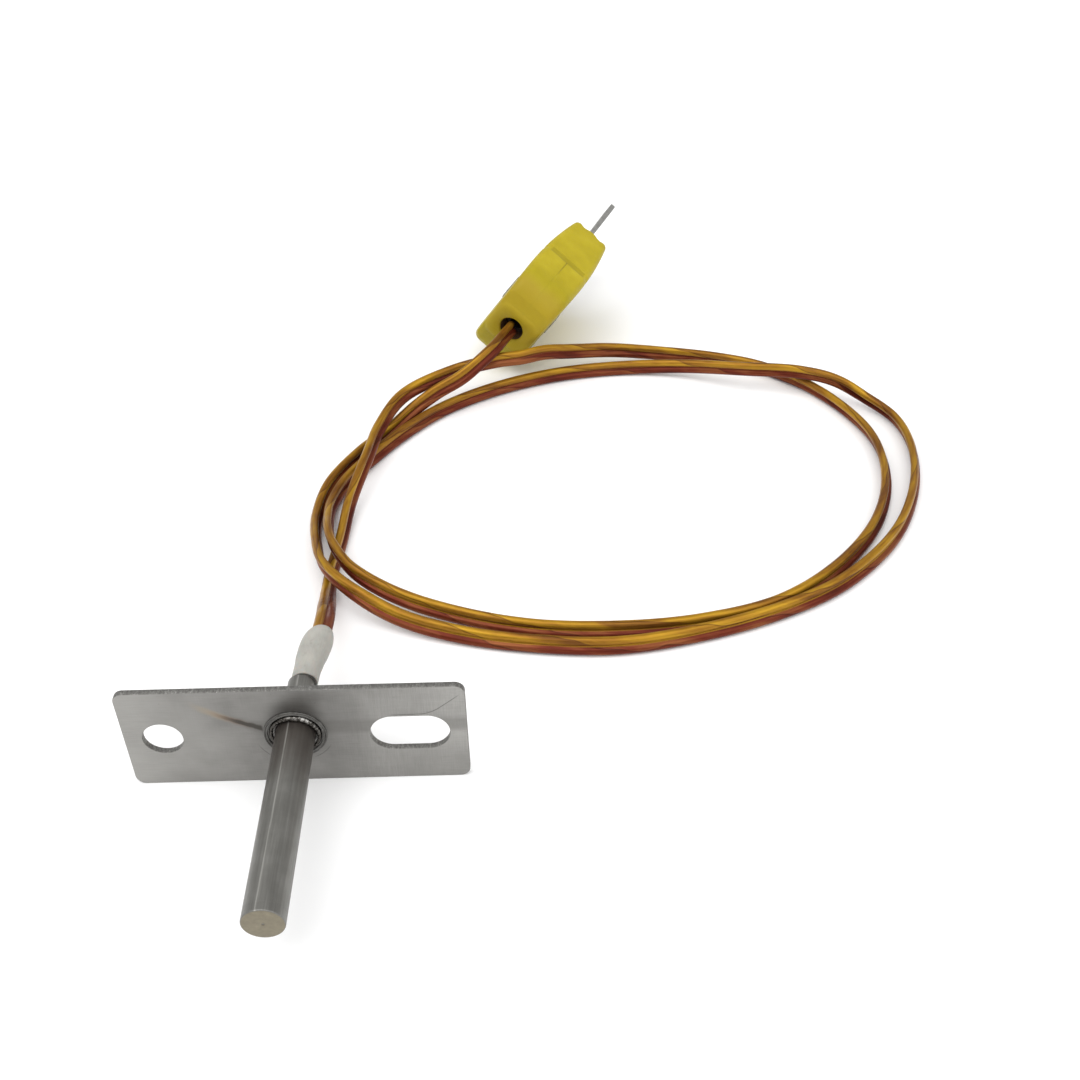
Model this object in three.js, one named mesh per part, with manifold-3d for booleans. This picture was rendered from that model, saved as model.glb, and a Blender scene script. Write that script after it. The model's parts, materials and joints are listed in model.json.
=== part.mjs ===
// Flanged thermocouple probe: a closed steel sheath welded through a slotted mounting plate, with a
// twin lead in two loose turns and a flat-blade miniature plug. Millimetres, +Z up. The plate stands on
// its long edge at z = 0, the sheath points along -Y and the lead leaves along +Y.
import * as THREE from "three";
import { mergeVertices } from "three/addons/utils/BufferGeometryUtils.js";
import Module from "manifold-3d";

const wasm = await Module();
wasm.setup();

// ---------- driving dimensions ----------
const ROUND = 32; // facets on a round piece
const FINE = 16; // facets on a small inner piece

// mounting plate
const PLATE_WIDTH = 34.4;
const PLATE_HEIGHT = 12.9;
const PLATE_THICKNESS = 0.7;
const PLATE_CORNER = 1.05;
const HOLE_RADIUS = 2.02;
const HOLE_X = -13.3;
const SLOT_X = 11.45;
const SLOT_LENGTH = 8.0;
const SLOT_RADIUS = 2.3;
const FIXING_Z = 6.55;

// sheath, its tip and its welds
const AXIS_Z = 6.8;
const SHEATH_LENGTH = 22.3;
const SHEATH_RADIUS = 2.0;
const SHEATH_BORE = 1.6;
const SHEATH_REAR = 1.4; // how far the sheath runs behind the plate's front face
const TIP_THICKNESS = 1.0;
const TIP_SPIGOT = 0.8;
const PLATE_BORE = 2.04;
const BEAD_RADIUS = 2.66;
const BEAD_HEIGHT = 0.38;
const COLLAR_INNER = 2.72;
const COLLAR_OUTER = 3.17;
const COLLAR_HEIGHT = 0.24;

// rear tube and shrink sleeve
const REAR_TUBE_RADIUS = 1.2;
const REAR_TUBE_BORE = 0.98;
const REAR_TUBE_SHOULDER = 1.36;
const REAR_TUBE_SHOULDER_END = 7.1;
const REAR_TUBE_START = -0.6;
const REAR_TUBE_END = 10.4;
const SLEEVE_START = 7.25;
const SLEEVE_END = 15.0;
const SLEEVE_DRIFT = 1.0; // sideways lean of the sleeve's lead end

// insulators and wires inside
const WIRE_RADIUS = 0.25;
const BEAD_COUNT = 4;
const BEAD_LENGTH = 4.2;
const BEAD_PITCH = 4.3;
const BEAD_OUTER = 1.5;
const FRONT_BORE_OFFSET = 0.62;
const REAR_BORE_OFFSET = 0.44;
const BORE_CLEARANCE = 0.06;

// lead
const LEAD_WIDTH = 2.2;
const LEAD_THICKNESS = 1.05;
const LEAD_STEPS = 80;
const LEG_RADIUS = 0.42; // of each leg where the two part inside the sleeve

// miniature plug, in its own frame: x across the wide side, y from lead end to blades, z through it
const PLUG_LENGTH = 21.6;
const PLUG_HALF_WIDTH = 7.9;
const PLUG_NOSE_HALF_WIDTH = 3.45;
const PLUG_SHOULDER = 4.9;
const PLUG_HALF_THICKNESS = 4.05;
const PLUG_EDGE = 0.8; // bevel along the long edges
const PLUG_BLOCK_START = 12.8;
const PLUG_GROOVE = 1.1;
const PLUG_GROOVE_DEPTH = 0.3;
const PLUG_PARTING_GAP = 0.1;
const PLUG_LEAD_HOLE = 1.8;
const PLUG_POCKET_START = 3.6;
const PLUG_POCKET_END = 11.3;
const PLUG_POCKET_HALF_WIDTH = 5.9;
const PLUG_POCKET_DEPTH = 2.9;
const PLUG_AT = new THREE.Vector3(21.7, 77.2, 8.45);
const PLUG_YAW = THREE.MathUtils.degToRad(24.5);
const PLUG_PITCH = THREE.MathUtils.degToRad(1.1);
const PLUG_ROLL = THREE.MathUtils.degToRad(36);
const BLADE_PITCH = 7.9;
const BLADE_THICKNESS = 0.8;
const BLADE_TAIL = 8.4;
const BLADE_TIP = 35.4;
const BLADE_WIDTHS = { positive: 2.4, negative: 3.2 };
const BLADE_SLOT_GAP = 0.06;
const TERMINAL_Y = 9.5;
const SCREW_SHANK = 0.8;
const SCREW_HEAD = 1.45;
const COVER_SCREW_Y = 7.6;
const COVER_SHANK = 1.0;
const COVER_HEAD = 1.95;
const COVER_NUT = 2.05;
const COVER_SEAT = 3.1; // depth of the head's and nut's seats from the parting plane

// Plate front face in the part's frame, so that the probe's length is centred on the origin.
const PLATE_FRONT_Y = (SHEATH_LENGTH - SLEEVE_END) / 2;

// ---------- materials ----------
const finish = (color, roughness, metalness) =>
  new THREE.MeshStandardMaterial({ color, roughness, metalness });
const steel = () => finish(0x8f8f8c, 0.38, 1.0);
const dullSteel = () => finish(0x7b7a76, 0.5, 1.0);
const weldSteel = () => finish(0x9a9890, 0.3, 1.0);
const ceramic = () => finish(0xe9e4d8, 0.85, 0.0);
const alloyWire = () => finish(0xa9a49a, 0.4, 1.0);
const yellowPlastic = () => finish(0xb9a63a, 0.5, 0.0);
const whiteSleeve = () => finish(0xd8d8d4, 0.6, 0.0);
const amberFilm = () => finish(0xa57a2a, 0.35, 0.0);
const redFilm = () => finish(0x91482d, 0.35, 0.0);

// ---------- solid helpers ----------
// A closed geometry as a manifold solid, turned so that its faces point out.
function solid(geometry) {
  const source = geometry.index ? geometry.toNonIndexed() : geometry;
  const bare = new THREE.BufferGeometry().setAttribute("position", source.getAttribute("position"));
  const merged = mergeVertices(bare, 1e-4);
  const corners = merged.index.array;
  const triangles = [];
  for (let i = 0; i < corners.length; i += 3) {
    const [a, b, c] = [corners[i], corners[i + 1], corners[i + 2]];
    if (a !== b && b !== c && c !== a) triangles.push(a, b, c);
  }
  const build = (list) =>
    new wasm.Manifold(
      new wasm.Mesh({
        numProp: 3,
        vertProperties: merged.getAttribute("position").array,
        triVerts: new Uint32Array(list),
      }),
    );
  const made = build(triangles);
  return made.volume() < 0 ? build(triangles.reverse()) : made;
}

// A manifold solid back as a geometry.
function geometryOf(manifold) {
  const mesh = manifold.getMesh();
  const geometry = new THREE.BufferGeometry();
  geometry.setAttribute("position", new THREE.BufferAttribute(new Float32Array(mesh.vertProperties), 3));
  geometry.setIndex(new THREE.BufferAttribute(new Uint32Array(mesh.triVerts), 1));
  const flat = geometry.toNonIndexed();
  flat.computeVertexNormals();
  return flat;
}

// Turned about the Y axis: [radius, y] pairs, from axis to axis or closed on themselves.
function turned(profile, facets = ROUND) {
  return new THREE.LatheGeometry(
    profile.map(([radius, y]) => new THREE.Vector2(radius, y)),
    facets,
  );
}

// A ring turned about the Y axis: the profile is closed here.
const ring = (profile, facets = ROUND) => turned([...profile, profile[0]], facets);

// A plain cylinder along Y from y0 to y1.
const rod = (radius, y0, y1, facets = ROUND) =>
  turned(
    [
      [0, y0],
      [radius, y0],
      [radius, y1],
      [0, y1],
    ],
    facets,
  );

// A tube along Y with a through bore.
const pipe = (outer, inner, y0, y1, facets = ROUND) =>
  ring(
    [
      [inner, y0],
      [outer, y0],
      [outer, y1],
      [inner, y1],
    ],
    facets,
  );

// A flat outline in x and z pushed along +Y.
function slab(shape, y0, thickness, curveSegments = 10) {
  const geometry = new THREE.ExtrudeGeometry(shape, { depth: thickness, bevelEnabled: false, curveSegments });
  geometry.rotateX(Math.PI / 2);
  geometry.translate(0, y0 + thickness, 0);
  return geometry;
}

// A flat outline in x and y pushed along +Z.
function plank(shape, z0, thickness, curveSegments = 10) {
  const geometry = new THREE.ExtrudeGeometry(shape, { depth: thickness, bevelEnabled: false, curveSegments });
  geometry.translate(0, 0, z0);
  return geometry;
}

function box(x0, x1, y0, y1, z0, z1) {
  const geometry = new THREE.BoxGeometry(x1 - x0, y1 - y0, z1 - z0);
  geometry.translate((x0 + x1) / 2, (y0 + y1) / 2, (z0 + z1) / 2);
  return geometry;
}

// A section swept along a smooth curve through the given points.
function swept(points, section, steps) {
  const path = new THREE.CatmullRomCurve3(
    points.map(([x, y, z]) => new THREE.Vector3(x, y, z)),
    false,
    "centripetal",
  );
  return new THREE.ExtrudeGeometry(section, { steps, bevelEnabled: false, extrudePath: path });
}

// A round section with flat sides.
function roundSection(radius, sides = 8) {
  const corner = (index) => {
    const angle = ((index + 0.5) * 2 * Math.PI) / sides;
    return new THREE.Vector2(radius * Math.cos(angle), radius * Math.sin(angle));
  };
  return new THREE.Shape(Array.from({ length: sides }, (_, index) => corner(index)));
}

// Adds one named piece to a group.
function place(group, name, geometry, material) {
  const shaped = geometryOf(solid(geometry));
  const mesh = new THREE.Mesh(shaped, material);
  mesh.name = name;
  group.add(mesh);
}

// A solid less any number of geometries.
function drilled(manifold, tools) {
  return geometryOf(tools.reduce((left, tool) => left.subtract(solid(tool)), manifold));
}

const part = new THREE.Group();
const probe = new THREE.Group(); // y = 0 at the plate's front face, sheath axis at x = 0
probe.position.set(0, PLATE_FRONT_Y, 0);
part.add(probe);
const core = new THREE.Group(); // pieces on the sheath's own axis
core.position.set(0, 0, AXIS_Z);
probe.add(core);

// ---------- mounting plate ----------
function roundedRectangle(x0, x1, z0, z1, corner) {
  const shape = new THREE.Shape();
  shape.moveTo(x0 + corner, z0);
  shape.lineTo(x1 - corner, z0);
  shape.absarc(x1 - corner, z0 + corner, corner, -Math.PI / 2, 0);
  shape.lineTo(x1, z1 - corner);
  shape.absarc(x1 - corner, z1 - corner, corner, 0, Math.PI / 2);
  shape.lineTo(x0 + corner, z1);
  shape.absarc(x0 + corner, z1 - corner, corner, Math.PI / 2, Math.PI);
  shape.lineTo(x0, z0 + corner);
  shape.absarc(x0 + corner, z0 + corner, corner, Math.PI, Math.PI * 1.5);
  return shape;
}

function roundHole(x, z, radius) {
  const hole = new THREE.Path();
  hole.absarc(x, z, radius, 0, Math.PI * 2, true);
  return hole;
}

function slotHole(x, z, length, radius) {
  const reach = length / 2 - radius;
  const hole = new THREE.Path();
  hole.moveTo(x - reach, z + radius);
  hole.lineTo(x + reach, z + radius);
  hole.absarc(x + reach, z, radius, Math.PI / 2, -Math.PI / 2, true);
  hole.lineTo(x - reach, z - radius);
  hole.absarc(x - reach, z, radius, -Math.PI / 2, Math.PI / 2, true);
  return hole;
}

function mountingPlate() {
  const shape = roundedRectangle(-PLATE_WIDTH / 2, PLATE_WIDTH / 2, 0, PLATE_HEIGHT, PLATE_CORNER);
  shape.holes.push(roundHole(0, AXIS_Z, PLATE_BORE));
  shape.holes.push(roundHole(HOLE_X, FIXING_Z, HOLE_RADIUS));
  shape.holes.push(slotHole(SLOT_X, FIXING_Z, SLOT_LENGTH, SLOT_RADIUS));
  return slab(shape, 0, PLATE_THICKNESS, ROUND / 2);
}

place(probe, "mounting_plate", mountingPlate(), steel());

// ---------- sheath ----------
const tipFaceY = -SHEATH_LENGTH;
const sheathFrontY = tipFaceY + TIP_THICKNESS;

place(core, "sheath_tube", pipe(SHEATH_RADIUS, SHEATH_BORE, sheathFrontY, SHEATH_REAR), steel());

function tipCap() {
  const chamfer = 0.12;
  const spigotRadius = SHEATH_BORE - 0.04;
  const punchRadius = 0.16;
  return turned([
    [0, tipFaceY + punchRadius],
    [punchRadius, tipFaceY],
    [SHEATH_RADIUS - chamfer, tipFaceY],
    [SHEATH_RADIUS, tipFaceY + chamfer],
    [SHEATH_RADIUS, sheathFrontY],
    [spigotRadius, sheathFrontY],
    [spigotRadius, sheathFrontY + TIP_SPIGOT],
    [0, sheathFrontY + TIP_SPIGOT],
  ]);
}

place(core, "tip_cap", tipCap(), dullSteel());

function frontCollar() {
  const edge = 0.12;
  return ring([
    [COLLAR_INNER, 0],
    [COLLAR_INNER, edge - COLLAR_HEIGHT],
    [COLLAR_INNER + edge, -COLLAR_HEIGHT],
    [COLLAR_OUTER - edge, -COLLAR_HEIGHT],
    [COLLAR_OUTER, edge - COLLAR_HEIGHT],
    [COLLAR_OUTER, 0],
  ]);
}

place(core, "front_collar", frontCollar(), steel());

// A fillet bead round the sheath, standing off a plate face in the given direction.
function weldBead(faceY, direction) {
  const inner = SHEATH_RADIUS + 0.03;
  return ring([
    [inner, faceY],
    [inner, faceY + direction * BEAD_HEIGHT],
    [inner + 0.22, faceY + direction * BEAD_HEIGHT * 0.92],
    [inner + 0.45, faceY + direction * BEAD_HEIGHT * 0.6],
    [BEAD_RADIUS, faceY],
  ]);
}

place(core, "front_weld_bead", weldBead(0, -1), weldSteel());
place(core, "rear_weld_bead", weldBead(PLATE_THICKNESS, 1), weldSteel());

// ---------- rear tube ----------
place(
  core,
  "rear_bush",
  pipe(SHEATH_BORE - 0.03, REAR_TUBE_RADIUS + 0.03, REAR_TUBE_START, SHEATH_REAR),
  dullSteel(),
);
place(
  core,
  "rear_tube",
  ring([
    [REAR_TUBE_BORE, REAR_TUBE_START],
    [REAR_TUBE_RADIUS, REAR_TUBE_START],
    [REAR_TUBE_RADIUS, SHEATH_REAR + 0.6],
    [REAR_TUBE_SHOULDER, SHEATH_REAR + 1.0],
    [REAR_TUBE_SHOULDER, REAR_TUBE_SHOULDER_END - 0.1],
    [REAR_TUBE_RADIUS, REAR_TUBE_SHOULDER_END],
    [REAR_TUBE_RADIUS, REAR_TUBE_END],
    [REAR_TUBE_BORE, REAR_TUBE_END],
  ]),
  steel(),
);

// ---------- insulators ----------
// A ceramic rod along Y with two bores, one above the other.
function twinBore(outer, offset, y0, length) {
  const shape = new THREE.Shape();
  shape.absarc(0, 0, outer, 0, Math.PI * 2);
  for (const side of [-1, 1]) shape.holes.push(roundHole(0, side * offset, WIRE_RADIUS + BORE_CLEARANCE));
  return slab(shape, y0, length, FINE / 2);
}

const firstBeadY = sheathFrontY + TIP_SPIGOT + 1.3;
for (let index = 0; index < BEAD_COUNT; index += 1) {
  const y0 = firstBeadY + index * BEAD_PITCH;
  const bead = twinBore(BEAD_OUTER, FRONT_BORE_OFFSET, y0, BEAD_LENGTH);
  place(core, `ceramic_insulator_${index + 1}`, bead, ceramic());
}
const lastBeadEnd = firstBeadY + (BEAD_COUNT - 1) * BEAD_PITCH + BEAD_LENGTH;
const rearInsulatorStart = 0.2;
const rearInsulatorLength = 9.0;
place(
  core,
  "rear_insulator",
  twinBore(REAR_TUBE_BORE - 0.05, REAR_BORE_OFFSET, rearInsulatorStart, rearInsulatorLength),
  ceramic(),
);
place(
  core,
  "rear_potting",
  twinBore(REAR_TUBE_BORE - 0.03, REAR_BORE_OFFSET, rearInsulatorStart + rearInsulatorLength + 0.1, 1.0),
  finish(0xcfc6b2, 0.9, 0.0),
);

// ---------- thermocouple ----------
const junctionRadius = 0.42;
const junctionY = sheathFrontY + TIP_SPIGOT + junctionRadius + 0.05;
const junction = new THREE.SphereGeometry(junctionRadius, FINE, 10);
junction.translate(0, junctionY, 0);
place(core, "hot_junction", junction, dullSteel());

// Behind the steel tube the sleeve leans to one side, and so does what it holds.
function leanAt(y) {
  const along = Math.max(0, (y - REAR_TUBE_END) / (SLEEVE_END - REAR_TUBE_END));
  return SLEEVE_DRIFT * along;
}

const ferruleStart = 11.2;
const ferruleEnd = 13.2;
const ferruleOffset = 0.6;
const ferruleX = leanAt((ferruleStart + ferruleEnd) / 2);
const poles = { positive: 1, negative: -1 };
for (const [pole, side] of Object.entries(poles)) {
  const wire = [
    [0, junctionY + junctionRadius + 0.08, side * 0.3],
    [0, firstBeadY - 0.1, side * FRONT_BORE_OFFSET],
    [0, firstBeadY + 0.6, side * FRONT_BORE_OFFSET],
    [0, (firstBeadY + lastBeadEnd) / 2, side * FRONT_BORE_OFFSET],
    [0, lastBeadEnd, side * FRONT_BORE_OFFSET],
    [0, rearInsulatorStart - 0.5, side * REAR_BORE_OFFSET],
    [0, rearInsulatorStart + 0.5, side * REAR_BORE_OFFSET],
    [0, REAR_TUBE_END - 0.7, side * REAR_BORE_OFFSET],
    [0.02, REAR_TUBE_END, side * REAR_BORE_OFFSET],
    [ferruleX, ferruleStart + 0.1, side * ferruleOffset],
    [ferruleX, (ferruleStart + ferruleEnd) / 2, side * ferruleOffset],
  ];
  place(core, `thermo_wire_${pole}`, swept(wire, roundSection(WIRE_RADIUS), 36), alloyWire());
}

// ---------- splices and shrink sleeve ----------
function lean(geometry) {
  const position = geometry.getAttribute("position");
  for (let index = 0; index < position.count; index += 1) {
    position.setX(index, position.getX(index) + leanAt(position.getY(index)));
  }
  return geometry;
}

const splices = new THREE.Group();
core.add(splices);
for (const [pole, side] of Object.entries(poles)) {
  const barrel = pipe(0.5, WIRE_RADIUS + 0.08, ferruleStart, ferruleEnd, FINE);
  barrel.translate(ferruleX, 0, side * ferruleOffset);
  place(splices, `splice_ferrule_${pole}`, barrel, dullSteel());
  const leg = [
    [ferruleX + 0.05, ferruleEnd + 0.1, side * ferruleOffset],
    [leanAt(ferruleEnd + 0.8), ferruleEnd + 0.8, side * 0.55],
    [leanAt(SLEEVE_END), SLEEVE_END - 0.1, side * 0.47],
  ];
  const film = side > 0 ? amberFilm() : redFilm();
  place(splices, `lead_leg_${pole}`, swept(leg, roundSection(LEG_RADIUS), 6), film);
}

function shrinkSleeve() {
  const bore = REAR_TUBE_RADIUS + 0.03;
  const chamber = 1.3;
  const mouth = 0.98;
  return lean(
    ring([
      [bore, SLEEVE_START],
      [1.42, SLEEVE_START],
      [1.44, SLEEVE_END - 5.9],
      [1.52, SLEEVE_END - 4.7],
      [1.64, SLEEVE_END - 3.5],
      [1.69, SLEEVE_END - 2.3],
      [1.62, SLEEVE_END - 1.4],
      [1.46, SLEEVE_END - 0.7],
      [1.24, SLEEVE_END - 0.25],
      [mouth, SLEEVE_END],
      [mouth, SLEEVE_END - 0.8],
      [chamber, SLEEVE_END - 1.5],
      [chamber, REAR_TUBE_END + 0.3],
      [bore, REAR_TUBE_END],
    ]),
  );
}

place(core, "shrink_sleeve", shrinkSleeve(), whiteSleeve());

// ---------- lead ----------
// Points of the lead's centre line from the sleeve to the plug, measured from the plate's front face.
const LEAD_ROUTE = [
  [0.95, 15.3, 6.75],
  [0.9, 18.0, 6.1],
  [0.5, 21.3, 4.5],
  [0.05, 24.8, 2.6],
  [-0.3, 27.9, 1.4],
  [-0.4, 31.0, 1.2],
  [0.2, 38.5, 1.2],
  [0.8, 45.5, 2.05],
  [2.5, 53.2, 3.52],
  [3.6, 59.8, 3.65],
  [6.5, 66.4, 4.4],
  [13.0, 71.1, 5.1],
  [19.5, 72.5, 6.05],
  [23.2, 73.2, 6.1],
  [26.4, 74.9, 5.8],
  [30.5, 77.1, 4.6],
  [36.5, 79.7, 3.1],
  [43.7, 81.1, 1.6],
  [51.0, 80.1, 1.2],
  [58.0, 77.3, 1.2],
  [64.1, 72.2, 1.2],
  [68.8, 65.0, 1.2],
  [71.3, 57.5, 1.2],
  [71.0, 48.5, 1.2],
  [67.6, 38.9, 1.2],
  [61.1, 30.3, 1.2],
  [53.0, 24.1, 1.2],
  [43.5, 21.1, 1.2],
  [34.0, 20.2, 1.2],
  [24.0, 20.9, 1.2],
  [14.9, 23.4, 1.37],
  [8.0, 25.8, 2.39],
  [2.9, 29.0, 3.52],
  [0.0, 33.7, 3.63],
  [-1.1, 37.3, 3.3],
  [-1.6, 41.0, 2.3],
  [-1.7, 45.3, 1.45],
  [-0.3, 50.7, 1.2],
  [2.8, 56.2, 1.2],
  [6.6, 61.9, 1.2],
  [12.1, 67.9, 1.2],
  [19.9, 73.0, 1.2],
  [29.0, 76.4, 1.2],
  [38.5, 77.7, 1.2],
  [47.0, 76.5, 1.94],
  [55.5, 72.7, 3.52],
  [63.5, 71.3, 3.58],
  [68.1, 69.3, 3.29],
  [72.0, 67.0, 1.82],
  [75.3, 62.4, 1.2],
  [76.0, 55.5, 1.2],
  [74.1, 46.0, 1.2],
  [69.2, 36.0, 1.2],
  [61.1, 27.5, 1.2],
  [52.5, 22.6, 1.2],
  [43.0, 19.3, 1.2],
  [33.8, 17.6, 1.2],
  [25.0, 18.1, 1.2],
  [16.0, 19.9, 1.26],
  [8.4, 22.4, 2.05],
  [2.75, 25.6, 3.62],
  [-0.9, 30.2, 3.63],
  [-2.5, 35.8, 2.55],
  [-3.4, 43.0, 1.2],
  [-2.5, 49.8, 1.2],
  [0.8, 56.8, 1.2],
  [4.0, 61.4, 1.2],
  [8.1, 66.3, 2.45],
  [11.1, 67.5, 4.15],
  [14.6, 68.5, 5.8],
  [17.5, 70.0, 7.6],
  [19.5, 72.3, 8.42],
  [20.8, 75.1, 8.5],
  [21.95, 77.7, 8.45],
];

// Two insulated legs side by side, one above the other.
function leadSection() {
  const across = LEAD_WIDTH / 2;
  const through = LEAD_THICKNESS / 2;
  const corner = 0.28;
  const corners = [
    [through, -across + corner],
    [through, across - corner],
    [through - corner, across],
    [-through + corner, across],
    [-through, across - corner],
    [-through, -across + corner],
    [-through + corner, -across],
    [through - corner, -across],
  ];
  return new THREE.Shape(corners.map(([x, y]) => new THREE.Vector2(x, y)));
}

place(probe, "lead_cable", swept(LEAD_ROUTE, leadSection(), LEAD_STEPS), amberFilm());

// ---------- plug ----------
const plug = new THREE.Group();
plug.position.copy(PLUG_AT);
plug.rotation.set(PLUG_PITCH, PLUG_ROLL - Math.PI / 2, -PLUG_YAW, "ZXY");
probe.add(plug);

// Outline of the body seen on its wide side, widest at the blades, with round shoulders at the nose.
function plugOutline() {
  const front = 0.9;
  const run = PLUG_HALF_WIDTH - PLUG_NOSE_HALF_WIDTH;
  const shape = new THREE.Shape();
  shape.moveTo(-PLUG_NOSE_HALF_WIDTH, 0);
  shape.lineTo(PLUG_NOSE_HALF_WIDTH, 0);
  shape.absellipse(PLUG_NOSE_HALF_WIDTH, PLUG_SHOULDER, run, PLUG_SHOULDER, -Math.PI / 2, 0, false, 0);
  shape.lineTo(PLUG_HALF_WIDTH, PLUG_LENGTH - front);
  shape.quadraticCurveTo(PLUG_HALF_WIDTH, PLUG_LENGTH, PLUG_HALF_WIDTH - front, PLUG_LENGTH);
  shape.lineTo(front - PLUG_HALF_WIDTH, PLUG_LENGTH);
  shape.quadraticCurveTo(-PLUG_HALF_WIDTH, PLUG_LENGTH, -PLUG_HALF_WIDTH, PLUG_LENGTH - front);
  shape.lineTo(-PLUG_HALF_WIDTH, PLUG_SHOULDER);
  const nose = -PLUG_NOSE_HALF_WIDTH;
  shape.absellipse(nose, PLUG_SHOULDER, run, PLUG_SHOULDER, Math.PI, Math.PI * 1.5, false, 0);
  return shape;
}

// Half thickness of the body, barrelled along its length and rounded off at both ends.
function plugHalfThickness(y) {
  const noseHalf = 3.65;
  const bladeEndHalf = 3.05;
  const along = y / PLUG_LENGTH;
  const barrel =
    noseHalf * (1 - along) * (1 - 2 * along) +
    4 * PLUG_HALF_THICKNESS * along * (1 - along) +
    bladeEndHalf * along * (2 * along - 1);
  const rounding = 0.8;
  const into = Math.max(0, 1 - Math.min(y + 0.25, PLUG_LENGTH - y) / rounding);
  return barrel - 0.65 * into * into;
}

// Side profile of one half, from y0 to y1: z from the parting plane to the barrelled skin.
function plugSide(y0, y1, side, inset = 0) {
  const stations = 14;
  const shape = new THREE.Shape();
  shape.moveTo(y0, (side * PLUG_PARTING_GAP) / 2);
  for (let index = 0; index <= stations; index += 1) {
    const y = y0 + ((y1 - y0) * index) / stations;
    shape.lineTo(y, side * (plugHalfThickness(y) - inset));
  }
  shape.lineTo(y1, (side * PLUG_PARTING_GAP) / 2);
  return shape;
}

// The side profile pushed across the whole width, as a geometry in the plug's frame.
function plugWedge(shape) {
  const reach = PLUG_HALF_WIDTH + 1;
  const geometry = new THREE.ExtrudeGeometry(shape, { depth: 2 * reach, bevelEnabled: false });
  // outline x runs along the plug's y, outline y along its z, and the push along its x
  geometry.applyMatrix4(new THREE.Matrix4().set(0, 0, 1, -reach, 1, 0, 0, 0, 0, 1, 0, 0, 0, 0, 0, 1));
  return geometry;
}

// The section across the body: its long edges are bevelled.
function plugSection() {
  const wide = PLUG_HALF_WIDTH + 0.5;
  const high = PLUG_HALF_THICKNESS + 0.2;
  const corners = [];
  for (const [sx, sz] of [[1, 1], [-1, 1], [-1, -1], [1, -1]]) {
    const onSide = [sx * wide, sz * (high - PLUG_EDGE - 0.5)];
    const onTop = [sx * (wide - PLUG_EDGE - 0.5), sz * high];
    corners.push(...(sx * sz > 0 ? [onSide, onTop] : [onTop, onSide]));
  }
  const shape = new THREE.Shape(corners.map(([x, z]) => new THREE.Vector2(x, z)));
  return slab(shape, -1, PLUG_LENGTH + 2);
}

const plugBody = solid(plank(plugOutline(), -6, 12, 8)).intersect(solid(plugSection()));

// The base carries the full-thickness front block, whose groove takes the cap's front edge.
function plugHalf(side) {
  const grooveStart = PLUG_BLOCK_START - PLUG_GROOVE;
  const capEnd = grooveStart - PLUG_PARTING_GAP;
  if (side > 0) return solid(plugWedge(plugSide(0, capEnd, side))).intersect(plugBody);
  const stretches = [
    [0, grooveStart, side, 0],
    [grooveStart, PLUG_BLOCK_START, side, PLUG_GROOVE_DEPTH],
    [PLUG_BLOCK_START, PLUG_LENGTH, side, 0],
    [grooveStart, PLUG_BLOCK_START, -side, PLUG_GROOVE_DEPTH],
    [PLUG_BLOCK_START, PLUG_LENGTH, -side, 0],
  ];
  const heartHalf = PLUG_HALF_WIDTH - 1.1;
  const heart = box(-heartHalf, heartHalf, grooveStart, PLUG_LENGTH - 0.4, -1, 1);
  const whole = stretches.reduce(
    (left, stretch) => left.add(solid(plugWedge(plugSide(...stretch)))),
    solid(heart),
  );
  return whole.intersect(plugBody);
}

function plugPocket(side) {
  const z0 = side > 0 ? 0 : -PLUG_POCKET_DEPTH;
  return box(
    -PLUG_POCKET_HALF_WIDTH,
    PLUG_POCKET_HALF_WIDTH,
    PLUG_POCKET_START,
    PLUG_POCKET_END,
    z0,
    z0 + PLUG_POCKET_DEPTH,
  );
}

const leadHole = rod(PLUG_LEAD_HOLE, -1, PLUG_POCKET_START + 0.5, ROUND);

// A cylinder along the plug's z.
function post(radius, x, y, z0, z1, facets = FINE) {
  const geometry = rod(radius, z0, z1, facets);
  geometry.rotateX(Math.PI / 2);
  geometry.translate(x, y, 0);
  return geometry;
}

const bladeX = { positive: BLADE_PITCH / 2, negative: -BLADE_PITCH / 2 };

function bladeSlot(pole) {
  const half = BLADE_WIDTHS[pole] / 2 + BLADE_SLOT_GAP;
  const through = BLADE_THICKNESS / 2 + BLADE_SLOT_GAP;
  const x = bladeX[pole];
  return box(x - half, x + half, PLUG_POCKET_END - 0.5, PLUG_LENGTH + 1, -through, through);
}

const coverScrewHole = post(COVER_SHANK + 0.12, 0, COVER_SCREW_Y, -6, 6);
const coverHeadSeat = post(COVER_HEAD + 0.15, 0, COVER_SCREW_Y, COVER_SEAT, 6);
const coverNutSeat = post(COVER_NUT + 0.15, 0, COVER_SCREW_Y, -6, -COVER_SEAT);

place(
  plug,
  "plug_base",
  drilled(plugHalf(-1), [
    plugPocket(-1),
    leadHole,
    bladeSlot("positive"),
    bladeSlot("negative"),
    coverScrewHole,
    coverNutSeat,
  ]),
  yellowPlastic(),
);
place(
  plug,
  "plug_cap",
  drilled(plugHalf(1), [
    plugPocket(1),
    leadHole,
    bladeSlot("positive"),
    bladeSlot("negative"),
    coverScrewHole,
    coverHeadSeat,
  ]),
  yellowPlastic(),
);

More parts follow.
